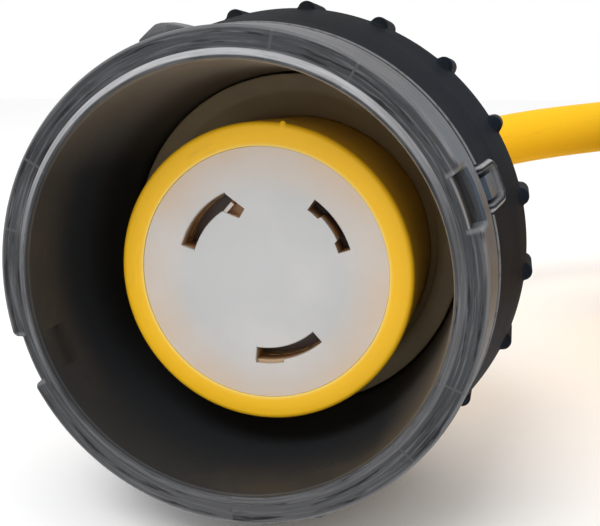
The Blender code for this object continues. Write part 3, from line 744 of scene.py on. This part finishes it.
# Pale tint: wear on the ring's front edge, and wear with a painted highlight on the beads' edges.
tint(black, times(black, wear_and_painted_light, between(black, noise(black, 900.0, detail=4.0), 0.0, 0.5)),
     (0.40, 0.40, 0.41))
relief(black, scuffs, 0.06 * MM)
grain(black, 0.03 * MM, 2600.0, detail=4.0)
worn(black, 0.45, 0.70, 110.0, (0.3, 1.0, 1.0), 6.0, 0.65, grip_grain)
settle(piece_from("ribbed_ring", shape, COLLAR), black, "grip_black", "locking_collar", "grip_ring")

# ---------------------------------------------------------------- seals and carrier
# The collar turns on a nylon bush, held by a sprung steel clip behind the rear wall.  A rubber
# gasket seals the bore in front of it, and a rubber sleeve inside it grips the connector body.
shell_low, shell_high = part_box("connector_shell")
BODY_SHIFT = (shell_low.x + shell_high.x) / 2 / MM
BODY_DROP = ((shell_low.z + shell_high.z) / 2 - AXIS_Z) / MM
BODY = Matrix.Translation(from_axis(0.0, BODY_SHIFT, BODY_DROP)) @ FACING
LIP_RADIUS = 24.84                # the lips of gasket and seal, which touch the body
LIP_EASE = 0.03

rubber = finish("seal_rubber", (0.016, 0.016, 0.017), 0.62)
blotch(rubber, (0.034, 0.033, 0.032), 0.45, 0.80, 180.0, detail=6.0)
grain(rubber, 0.05 * MM, 1400.0, detail=5.0)
worn(rubber, 0.50, 0.78, 90.0, detail=5.0)

carrier_outline = (
    (41, 31.3, 0.2), (43.7, 31.3, 0.2), (43.7, 29.7, 0), (47.2, 29.7, 0.15), (47.2, 28.7, 0),
    (49.2, 28.7, 0), (49.2, 29.7, 0.2), (60.5, 29.7, 0.8), (61, 28.4, 0.3), (61, 27.7, 0.2),
    (41, 27.7, 0.2),
)
bush = piece_from("sliding_bush", revolved(carrier_outline, meridians(2.0)), COLLAR)
settle(bush, rubber, "rubber_black", "collar_carrier", "seal_carrier")

brown_rubber = finish("gasket_rubber", (0.330, 0.250, 0.130), 0.45, Specular_IOR_Level=0.35)
blotch(brown_rubber, (0.260, 0.195, 0.112), 0.40, 0.75, 70.0, detail=5.0)
grain(brown_rubber, 0.04 * MM, 1500.0, detail=4.0)
worn(brown_rubber, 0.36, 0.58, 120.0, detail=4.0)
gasket_outline = ((38.5, 31.4, 0.35), (40.7, 31.4, 0.35), (40.7, 27.2, 0.3),
                  (41.3, LIP_RADIUS + 0.02, 0.2), (40.6, LIP_RADIUS - 0.01, 0.2), (38.6, 28.0, 0.8))
gasket = revolved(gasket_outline, meridians(2.0), ((38.5, 41.4, 25.0, 31.4, 0.6),))

seal_outline = [(42.2, 27.4, 0.3), (60, 27.4, 0.3), (60, LIP_RADIUS, 0.25)]
for groove in range(5):
    bottom = 57.2 - 3.4 * groove
    seal_outline += [(bottom + 1.2, LIP_RADIUS, 0.25), (bottom, 25.85, 0.3), (bottom - 1.0, LIP_RADIUS, 0.25)]
seal_outline.append((42.2, LIP_RADIUS, 0.2))


def round_the_body(angle, depth, radius):
    """Shift the seal's bore, but not its outside, onto the body's own axis."""
    turn = math.radians(angle)
    shift = BODY_SHIFT * math.cos(turn) + BODY_DROP * math.sin(turn)
    return radius + shift * (1 - ramp(radius, 25.9, 27.3)) + LIP_EASE


reshape(gasket, round_the_body)
settle(piece_from("mouth_gasket", gasket, COLLAR), brown_rubber, "rubber_black", "collar_carrier",
       "bore_gasket")
seal = revolved(seal_outline, meridians(2.0))
reshape(seal, round_the_body)
settle(piece_from("ribbed_seal", seal, COLLAR), rubber, "rubber_black", "collar_carrier", "body_seal")

steel = finish("spring_steel", (0.56, 0.56, 0.57), 0.28, 1.0)
blotch(steel, (0.36, 0.35, 0.34), 0.50, 0.85, 60.0, detail=6.0)
grain(steel, 0.02 * MM, 1600.0, (1.0, 0.06, 1.0), 4.0)
worn(steel, 0.20, 0.42, 240.0, detail=5.0)
clip_section = ((47.4, 32.2, 0.35), (49.0, 32.2, 0.35), (49.0, 29.0, 0.35), (47.4, 29.0, 0.35))
clip = revolved(clip_section, meridians(2.0))
carved(clip, slab([(-2.4, -34.0), (2.4, -34.0), (2.4, -27.0), (-2.4, -27.0)], -52.0, -44.0))
settle(piece_from("snap_clip", clip, COLLAR), steel, "clip_steel", "collar_carrier", "carrier_clip")

# ---------------------------------------------------------------- connector shell
# One yellow moulding holds the contacts: a rim round the face, a plain barrel that slides in the
# seal, and a coned rear wall that carries the boot.  The gate leaves a nib on the rim's top edge.
NIB_ANGLE = 82.0
SEAM_ANGLE = 3.0
BODY_RADIUS = 24.8
BODY_REAR = 78.5


def shell_radius(angle, depth, radius):
    """The body's radius with the nib on its rim and the fine seams along its barrel."""
    if depth < 16.4 and radius > 24:
        away = math.hypot(radius * math.radians(off(angle, NIB_ANGLE, False)), depth - 15.5)
        radius += 0.42 * (1 - ramp(away, 0.15, 0.6))
    if 26 < depth < 66 and radius > 24.7:
        seam = abs(off(angle, SEAM_ANGLE)) * math.radians(radius)
        radius += 0.07 * (1 - ramp(seam, 0.05, 0.22))
    return radius


shell_outline = (
    (15, 20.92, 0.06), (15, BODY_RADIUS, 0.85), (26, BODY_RADIUS, 0), (66, BODY_RADIUS, 0),
    (68.6, BODY_RADIUS, 1.2), (77.5, 18, 0.8), (BODY_REAR, 16.6, 0.6), (BODY_REAR, 13.2, 0.3),
    (75.5, 13.2, 0.2), (75.5, 15.6, 0.6), (69, 21.6, 0.6), (31, 21.6, 0), (31, 20.92, 0),
)
close_angles = [(NIB_ANGLE - 1.6, NIB_ANGLE + 1.6, 0.16)]
close_angles += [(SEAM_ANGLE - 0.8 + half, SEAM_ANGLE + 0.8 + half, 0.16) for half in (0, 180)]
shape = revolved(shell_outline, meridians(1.5, close_angles),
                 ((15.3, 26, 24.7, 24.9, 0.9), (26, 66, 24.7, 24.9, 4.0)))
reshape(shape, shell_radius)

body_centre = from_axis(0.0, BODY_SHIFT, BODY_DROP)
yellow = finish("shell_plastic", (0.83, 0.46, 0.010), 0.42, Specular_IOR_Level=0.28)
shell_grain, _, shell_reach, _ = around(yellow, body_centre)
blotch(yellow, (0.88, 0.50, 0.014), 0.35, 0.75, 26.0, detail=3.0)
blotch(yellow, (0.62, 0.34, 0.030), 0.62, 0.85, 300.0, (0.15, 1.0, 1.0), 8.0, 0.65, shell_grain)
tint(yellow, between(yellow, shell_reach, 21.5 * MM, 20.8 * MM), (0.80, 0.60, 0.16))
grain(yellow, 0.025 * MM, 1800.0, detail=4.0)
worn(yellow, 0.32, 0.50, 130.0, (0.3, 1.0, 1.0), 5.0, 0.6, shell_grain)
settle(piece_from("yellow_body", shape, BODY), yellow, "shell_yellow", "connector", "connector_shell")

# ---------------------------------------------------------------- contact face
# The face is milky nylon with three curved slots for the blades of the power inlet.  One slot is
# hooked and one is stepped, so that a wrong connector cannot enter.  Light shows the walls brown.
FACE_FRONT = 15.2
FACE_RADIUS = 20.89
FACE_REAR = 30.0
SLOT_FLOOR = 20.6
MOUTH_DEPTH = 0.16
MOUTH_FLARE = 0.14
CUT_ABOVE = 2.0 - FACE_FRONT      # the cutters stand this high, 2 mm clear of the face
GROUND_SLOT = (12.3, 14.7, 115.8, 163.0)
HOT_SLOT = (12.5, 14.7, -95.0, -47.5)


def curved_slot(inner, outer, start, end, count=14):
    """The outline of a slot along an arc, radii in mm and angles in degrees."""
    return arc_points(0, 0, outer, start, end, count) + arc_points(0, 0, inner, end, start, count)


ground_hook = ((-6.40, 13.23), (-2.96, 10.75), (-3.89, 9.16), (-7.2, 10.3))
hook_web = ((-6.75, 10.1), (-6.3, 9.75), (-4.9, 11.35), (-5.35, 11.75))
neutral_slot = (arc_points(0, 0, 15.3, 17.8, 55.5, 14) + arc_points(0, 0, 13.2, 55.5, 46.2, 4)
                + arc_points(0, 0, 13.78, 45.2, 26.4, 8) + arc_points(0, 0, 13.2, 25.4, 17.8, 4))


def slot_cutter(inner, outer, start, end):
    """A cutter for a curved slot whose mouth opens out a little at the front of the face."""
    turn = math.degrees(MOUTH_FLARE / outer)
    outline = curved_slot(inner, outer, start, end)
    wide = curved_slot(inner - MOUTH_FLARE, outer + MOUTH_FLARE, start - turn, end + turn)
    shape = slab(outline, -SLOT_FLOOR, -FACE_FRONT - MOUTH_DEPTH)
    top = [face for face in shape.faces if face.normal.z > 0.5]
    for height in (-FACE_FRONT, CUT_ABOVE):
        grown = bmesh.ops.extrude_face_region(shape, geom=top)
        bmesh.ops.delete(shape, geom=top, context="FACES_ONLY")
        top = [item for item in grown["geom"] if isinstance(item, bmesh.types.BMFace)]
        for vert in {vert for face in top for vert in face.verts}:
            x, y = vert.co.x / MM, vert.co.y / MM
            gaps = [min(math.hypot(x - a[0], y - a[1]), math.hypot(x - b[0], y - b[1]))
                    for a, b in zip(outline, wide)]
            to_x, to_y = wide[gaps.index(min(gaps))]
            vert.co = (to_x * MM, to_y * MM, height * MM)
    bmesh.ops.recalc_face_normals(shape, faces=shape.faces)
    return shape


face = slab(arc_points(0, 0, FACE_RADIUS, 0, 358.5, 239), -FACE_REAR, -FACE_FRONT)
rim_edges = [edge for edge in face.edges if abs(edge.verts[0].co.z - edge.verts[1].co.z) < 0.001 * MM]
bmesh.ops.bevel(face, geom=rim_edges, offset=0.08 * MM, offset_type="OFFSET", affect="EDGES", segments=2,
                profile=0.5, material=-1)
carved(face, slot_cutter(*GROUND_SLOT))
carved(face, slab(ground_hook, -17.2, CUT_ABOVE))
carved(face, slab(neutral_slot, -SLOT_FLOOR, CUT_ABOVE))
carved(face, slot_cutter(*HOT_SLOT))
carved(face, slab(curved_slot(14.6, 15.15, -95.0, -76.0, 6), -16.0, CUT_ABOVE))
carved(face, slab(hook_web, -17.6, -FACE_FRONT - 0.3), "UNION")
bmesh.ops.triangulate(face, faces=face.faces[:])

nylon = finish("face_nylon", (0.45, 0.452, 0.45), 0.36, Subsurface_Weight=0.15, Subsurface_Scale=0.002)
_, _, face_reach, face_depth = around(nylon, body_centre)
# Painted light: the face is painted warmer towards its rim, for the yellow shell's light that shows through
# the nylon there.
tint(nylon, between(nylon, face_reach, 13.5 * MM, 20.4 * MM), (0.58, 0.46, 0.36))
blotch(nylon, (0.54, 0.52, 0.50), 0.42, 0.78, 55.0, detail=3.0)
# Painted light and painted shade in the slots: the walls are painted tan just behind the face, then brown,
# then nearly black deeper in.
for low, high, colour in ((0.1, 0.8, (0.46, 0.33, 0.20)), (0.6, 2.2, (0.30, 0.135, 0.045)),
                          (2.6, 5.4, (0.050, 0.020, 0.008))):
    tint(nylon, between(nylon, face_depth, (FACE_FRONT + low) * MM, (FACE_FRONT + high) * MM), colour)
grain(nylon, 0.03 * MM, 1100.0, detail=5.0)
grain(nylon, 0.05 * MM, 90.0, detail=2.0)
worn(nylon, 0.28, 0.46, 160.0, detail=5.0)
settle(piece_from("nylon_face", face, BODY), nylon, "face_nylon", "connector", "contact_face", crease=20.0)

# ---------------------------------------------------------------- contacts, block and leads
# Behind the face a nylon block holds three brass contacts.  Each has a binding screw in its own
# colour for its lead.  Two clamp halves and their screws grip the jacket behind them.
brass = finish("contact_brass", (0.66, 0.40, 0.15), 0.42, 0.45)
blotch(brass, (0.46, 0.26, 0.10), 0.45, 0.80, 130.0, detail=6.0)
grain(brass, 0.02 * MM, 1500.0, (1.0, 0.08, 1.0), 4.0)
worn(brass, 0.20, 0.44, 300.0, detail=5.0)

block_nylon = finish("block_nylon", (0.50, 0.49, 0.45), 0.50)
blotch(block_nylon, (0.40, 0.38, 0.33), 0.45, 0.80, 90.0, detail=5.0)
grain(block_nylon, 0.04 * MM, 1500.0, detail=4.0)
worn(block_nylon, 0.42, 0.62, 200.0, detail=4.0)

clamp_plastic = finish("clamp_plastic", (0.115, 0.115, 0.118), 0.58)
blotch(clamp_plastic, (0.18, 0.18, 0.18), 0.55, 0.80, 300.0, detail=6.0)
grain(clamp_plastic, 0.05 * MM, 1200.0, detail=5.0)
worn(clamp_plastic, 0.48, 0.68, 150.0, detail=4.0)


def dress(material, *nodes):
    """Give the plain solids whose shape is already right a better material."""
    for node in nodes:
        solid = bpy.data.objects[node]
        for slot in solid.material_slots:
            slot.material = material


def plated(name, colour, dull):
    """A screw or lead finish: an even colour with handling marks."""
    metal = 1.0 if name.startswith("screw") else 0.0
    coat = finish(name, colour, 0.35, metal)
    blotch(coat, dull, 0.50, 0.80, 400.0, detail=6.0)
    grain(coat, 0.015 * MM, 2200.0, detail=3.0)
    worn(coat, 0.26, 0.48, 350.0, detail=4.0)
    return coat


dress(brass, "contact_ground", "contact_neutral", "contact_hot")
dress(block_nylon, "terminal_block")
dress(clamp_plastic, "cord_clamp_upper", "cord_clamp_lower")
dress(steel, "clamp_screw_left", "clamp_screw_right")
dress(plated("screw_green_coat", (0.05, 0.30, 0.08), (0.03, 0.18, 0.05)), "terminal_screw_ground")
dress(plated("screw_silver_coat", (0.68, 0.68, 0.68), (0.48, 0.48, 0.47)), "terminal_screw_neutral")
dress(plated("screw_brass_coat", (0.66, 0.50, 0.24), (0.44, 0.31, 0.14)), "terminal_screw_hot")
dress(plated("lead_green_vinyl", (0.03, 0.26, 0.06), (0.02, 0.18, 0.04)), "connector_lead_ground",
      "plug_lead_ground")
dress(plated("lead_white_vinyl", (0.72, 0.72, 0.69), (0.58, 0.57, 0.53)), "connector_lead_neutral",
      "plug_lead_neutral")
dress(plated("lead_black_vinyl", (0.015, 0.015, 0.015), (0.035, 0.034, 0.033)), "connector_lead_hot",
      "plug_lead_hot")

# ---------------------------------------------------------------- boots
# A tapered boot of soft yellow vinyl guards the cord where it leaves the connector, and another
# where it enters the plug.  Each is grooved like a bellows and held by a groove in the rear wall.
BOOT_RINGS = 5
BOOT_PITCH = 3.6
BOOT_TAPER = 0.72                 # how much smaller each ring is than the one before it
BOOT_TAIL_RADIUS = 10.1
BOOT_BORE = 8.75


def boot(front, wall, neck, crown, first_radius, first, rear):
    """A boot: the flange inside the wall, its groove, the rings, and the cord's bore."""
    points = [(front, neck + 1.7, 0.3), (wall - 0.3, neck + 1.7, 0.3), (wall - 0.3, neck, 0),
              (wall + 3.3, neck, 0), (wall + 3.3, crown, 0.5), (first, crown + 0.2, 0.4)]
    for i in range(BOOT_RINGS):
        radius = first_radius - BOOT_TAPER * i
        start = first + BOOT_PITCH * i
        points += [(start + 0.9, radius - 0.95, 0.3), (start + 1.9, radius, 0.5),
                   (start + BOOT_PITCH - 0.1, radius - 0.15, 0.5)]
    points += [(first + BOOT_RINGS * BOOT_PITCH + 0.7, first_radius - BOOT_TAPER * BOOT_RINGS - 0.6, 0.3),
               (rear, BOOT_TAIL_RADIUS, 0.4), (rear, BOOT_BORE, 0.3), (front, BOOT_BORE, 0.3)]
    return revolved(points, meridians(2.5))


boot_vinyl = finish("boot_vinyl", (0.80, 0.43, 0.014), 0.50, Specular_IOR_Level=0.3)
blotch(boot_vinyl, (0.72, 0.37, 0.022), 0.40, 0.75, 60.0, detail=4.0)
blotch(boot_vinyl, (0.50, 0.27, 0.03), 0.62, 0.82, 700.0, detail=8.0, rough=0.7)
grain(boot_vinyl, 0.05 * MM, 1300.0, detail=5.0)
worn(boot_vinyl, 0.40, 0.62, 140.0, detail=5.0)

shape = boot(71.5, 75.5, 12.9, 14.2, 13.9, 80.4, 99.3)
settle(piece_from("ribbed_boot", shape, BODY), boot_vinyl, "shell_yellow", "connector", "strain_relief")

# ---------------------------------------------------------------- plug
# The far end is a straight-blade 30 A plug: a hollow yellow grip with finger flutes, a black blade
# carrier, two slanted folded blades and a round earth pin, all nickel plated.
PLUG_PLACE = COIL_CENTRE + Vector((0.1117, -0.0180, 0.0912))
PLUG_HEADING = math.radians(31.0)
PLUG = Matrix.Translation(PLUG_PLACE) @ Matrix.Rotation(PLUG_HEADING, 4, "Z") @ FACING
PLUG_LENGTH = 55.0
PLUG_RADIUS = 21.0
FLUTE_COUNT = 14
FLUTE_DEPTH = 0.9
BLADE_SLANT = math.radians(45)
BLADE_REACH = 22.0
PIN_DROP = 9.0
PIN_RADIUS = 2.5


def plug_radius(angle, depth, radius):
    """The grip's radius with its flutes, which run out at both ends."""
    if radius > 14.5 and 20 < depth < 52:
        flute = 0.5 + 0.5 * math.cos(math.radians(FLUTE_COUNT * angle))
        radius -= FLUTE_DEPTH * flute ** 2 * ramp(depth, 21, 26) * (1 - ramp(depth, 47, 51))
    return radius


plug_outline = (
    (0, 20.4, 0.3), (0.6, PLUG_RADIUS, 0.4), (3.2, PLUG_RADIUS, 0.2), (3.6, 20.6, 0.2), (4.4, 20.6, 0.2),
    (4.8, PLUG_RADIUS, 0.2), (18, PLUG_RADIUS, 1.5), (22, 19.8, 2.0), (34, 16.4, 4.0), (42, 16, 3.0),
    (50, 17.6, 2.0), (54.4, 17.1, 0.8), (PLUG_LENGTH, 15.6, 0.4), (PLUG_LENGTH, 12.2, 0.3), (51, 12.2, 0),
    (51, 13.4, 0.5), (34, 13.4, 2.0), (20, 17.8, 1.0), (0, 17.8, 0.3),
)
shape = revolved(plug_outline, meridians(1.25), ((19, 52, 15.5, 21.0, 0.9),))
reshape(shape, plug_radius)
with_plug = [settle(piece_from("plug_grip", shape, PLUG), boot_vinyl, "shell_yellow", "connector",
                    "plug_shell")]

blade_places = {}
for name, side in (("hot", -1), ("neutral", 1)):
    centre = Matrix.Rotation(-side * BLADE_SLANT, 3, "Z") @ Vector((side * 10.0, 3.5, 0.0))
    blade_places[name] = Matrix.Translation(centre * MM) @ Matrix.Rotation(side * BLADE_SLANT, 4, "Z")


def box(width, height, low, high, bevel, segments):
    """A block with rounded edges, in mm, between two heights."""
    shape = bmesh.new()
    bmesh.ops.create_cube(shape, size=1.0)
    bmesh.ops.scale(shape, vec=(width * MM, height * MM, (high - low) * MM), verts=shape.verts)
    bmesh.ops.translate(shape, vec=(0, 0, (low + high) / 2 * MM), verts=shape.verts)
    bmesh.ops.bevel(shape, geom=shape.edges[:], offset=bevel * MM, offset_type="OFFSET", affect="EDGES",
                    segments=segments, profile=0.5, material=-1)
    return shape


insert = revolved(((0.3, 0.0, 0), (0.3, 17.45, 0.5), (14, 17.45, 0.4), (14, 0.0, 0)), meridians(2.5))
for place in blade_places.values():
    slot = box(2.1, 8.6, -20.0, 20.0, 0.3, 2)
    bmesh.ops.transform(slot, matrix=place, verts=slot.verts)
    carved(insert, slot)
pin_hole = revolved(((-10, 0.0, 0), (20, 0.0, 0), (20, 2.8, 0), (-10, 2.8, 0)), meridians(10))
bmesh.ops.translate(pin_hole, vec=(0, -PIN_DROP * MM, 0), verts=pin_hole.verts)
carved(insert, pin_hole)
with_plug.append(settle(piece_from("plug_insert", insert, PLUG), rubber, "rubber_black", "connector",
                        "plug_blade_carrier"))

nickel = finish("blade_nickel", (0.66, 0.64, 0.60), 0.24, 1.0)
blotch(nickel, (0.48, 0.45, 0.40), 0.50, 0.85, 160.0, detail=6.0)
grain(nickel, 0.015 * MM, 1500.0, (1.0, 1.0, 0.06), 4.0)
worn(nickel, 0.16, 0.38, 260.0, detail=5.0)
for name, place in blade_places.items():
    blade = box(1.5, 8.0, -13.0, BLADE_REACH, 0.45, 3)
    for vert in blade.verts:
        if vert.co.z > (BLADE_REACH - 3.0) * MM:
            vert.co.x *= 0.55
            vert.co.y *= 0.86
    hole = revolved(((-3, 0.0, 0), (-3, 1.6, 0), (3, 1.6, 0), (3, 0.0, 0)), meridians(10))
    bmesh.ops.rotate(hole, cent=(0, 0, 0), matrix=Matrix.Rotation(math.pi / 2, 3, "Y"), verts=hole.verts)
    bmesh.ops.translate(hole, vec=(0, 0, (BLADE_REACH - 6.0) * MM), verts=hole.verts)
    carved(blade, hole)
    bmesh.ops.transform(blade, matrix=place, verts=blade.verts)
    with_plug.append(settle(piece_from("blade_" + name, blade, PLUG), nickel, "blade_nickel", "connector",
                            "plug_blade_" + name))
pin_outline = ((-25, 0.0, 0), (-25, 1.2, 0.5), (-23.6, PIN_RADIUS, 0.9), (13, PIN_RADIUS, 0.3), (13, 0.0, 0))
pin = revolved(pin_outline, meridians(6))
bmesh.ops.translate(pin, vec=(0, -PIN_DROP * MM, 0), verts=pin.verts)
with_plug.append(settle(piece_from("earth_pin", pin, PLUG), nickel, "blade_nickel", "connector",
                        "plug_earth_pin"))

shape = boot(PLUG_LENGTH - 8.5, PLUG_LENGTH - 4.0, 11.9, 13.6, 13.4, PLUG_LENGTH + 2.0, PLUG_LENGTH + 28.0)
with_plug.append(settle(piece_from("plug_boot", shape, PLUG), boot_vinyl, "shell_yellow", "connector",
                        "plug_strain_relief"))

# ---------------------------------------------------------------- coil straps
# Two black webbing straps hold the coil.  Each is a flat woven band pulled round the bundle, and
# its end lies over its start, where hooks and loops hold it.
STRAP_WIDTH = 20.0
STRAP_THICKNESS = 1.4
STRAP_LAP = 34.0
STRAP_STEP = 1.0
STRAP_CORNER = 9.0
STRAP_SIDES = (74.7, 128.8)       # inner and outer side of the loop, from the coil's centre
STRAP_HEIGHTS = (0.8, 71.0)
STRAP_TIP = 3.0                   # how much of the end is rounded off
LOOP_WIDTH = STRAP_SIDES[1] - STRAP_SIDES[0] - 2 * STRAP_CORNER
LOOP_HEIGHT = STRAP_HEIGHTS[1] - STRAP_HEIGHTS[0] - 2 * STRAP_CORNER
LOOP_LENGTH = 2 * (LOOP_WIDTH + LOOP_HEIGHT) + 2 * math.pi * STRAP_CORNER

webbing = finish("webbing", (0.016, 0.016, 0.017), 0.80, Sheen_Weight=0.25)
on_band = link_node(webbing.node_tree, "TexCoord").outputs["UV"]
threads = []
for way, count, bend in (("X", 260.0, 0.4), ("Y", 160.0, 0.3)):
    waves = link_node(webbing.node_tree, "TexWave", {"Vector": on_band, "Scale": count, "Distortion": bend},
                      bands_direction=way)
    threads.append(waves.outputs["Fac"])
weave = times(webbing, *threads)
tint(webbing, between(webbing, weave, 0.2, 0.9), (0.050, 0.050, 0.053))
blotch(webbing, (0.075, 0.073, 0.070), 0.55, 0.80, 500.0, on="UV")
relief(webbing, weave, 0.25 * MM)
grain(webbing, 0.05 * MM, 3000.0, detail=3.0, on="UV")


def loop_place(run):
    """The place and the outward direction run mm along the loop, from the middle of its top."""
    quarter = math.pi / 2 * STRAP_CORNER
    middle = Vector(((STRAP_SIDES[0] + STRAP_SIDES[1]) / 2, (STRAP_HEIGHTS[0] + STRAP_HEIGHTS[1]) / 2))
    run = (run + LOOP_WIDTH / 2) % LOOP_LENGTH
    for side in range(4):
        straight = LOOP_WIDTH if side % 2 == 0 else LOOP_HEIGHT
        rise = LOOP_HEIGHT if side % 2 == 0 else LOOP_WIDTH
        turn = Matrix.Rotation(-side * math.pi / 2, 2)
        if run <= straight:
            spot = Vector((run - straight / 2, rise / 2 + STRAP_CORNER))
            return middle + turn @ spot, turn @ Vector((0, 1))
        run -= straight
        if run <= quarter:
            angle = math.pi / 2 - run / STRAP_CORNER
            out = Vector((math.cos(angle), math.sin(angle)))
            return middle + turn @ (Vector((straight / 2, rise / 2)) + out * STRAP_CORNER), turn @ out
        run -= quarter


for name, angle in (("left", 160.0), ("front", 280.0)):
    length = LOOP_LENGTH + STRAP_LAP
    band = bmesh.new()
    layer = band.loops.layers.uv.new("UVMap")
    bmesh.ops.create_grid(band, x_segments=round(length / STRAP_STEP), y_segments=4, size=0.5)
    for vert in band.verts:
        run = (vert.co.x + 0.5) * length
        width = vert.co.y * STRAP_WIDTH
        for loop in vert.link_loops:
            loop[layer].uv = (run * MM, width * MM)
        if run > length - STRAP_TIP:
            width *= 1 - 0.3 * ((run - length + STRAP_TIP) / STRAP_TIP) ** 2
        spot, out = loop_place(run - STRAP_LAP / 2)
        lap = (STRAP_THICKNESS + 0.15) * ramp(run, length - STRAP_LAP - 8.0, length - STRAP_LAP + 1.0)
        spot = spot + out * lap
        vert.co = (spot.x * MM, width * MM, spot.y * MM)
    bmesh.ops.recalc_face_normals(band, faces=band.faces)
    stand = Matrix.Translation(COIL_CENTRE) @ Matrix.Rotation(math.radians(angle), 4, "Z")
    strap = piece_from("webbing_strap_" + name, band, stand)
    thickness = strap.modifiers.new("thickness", "SOLIDIFY")
    thickness.thickness = STRAP_THICKNESS * MM
    thickness.offset = 0.0
    settle(strap, webbing, "strap_black", "connector", "cord_strap_" + name)
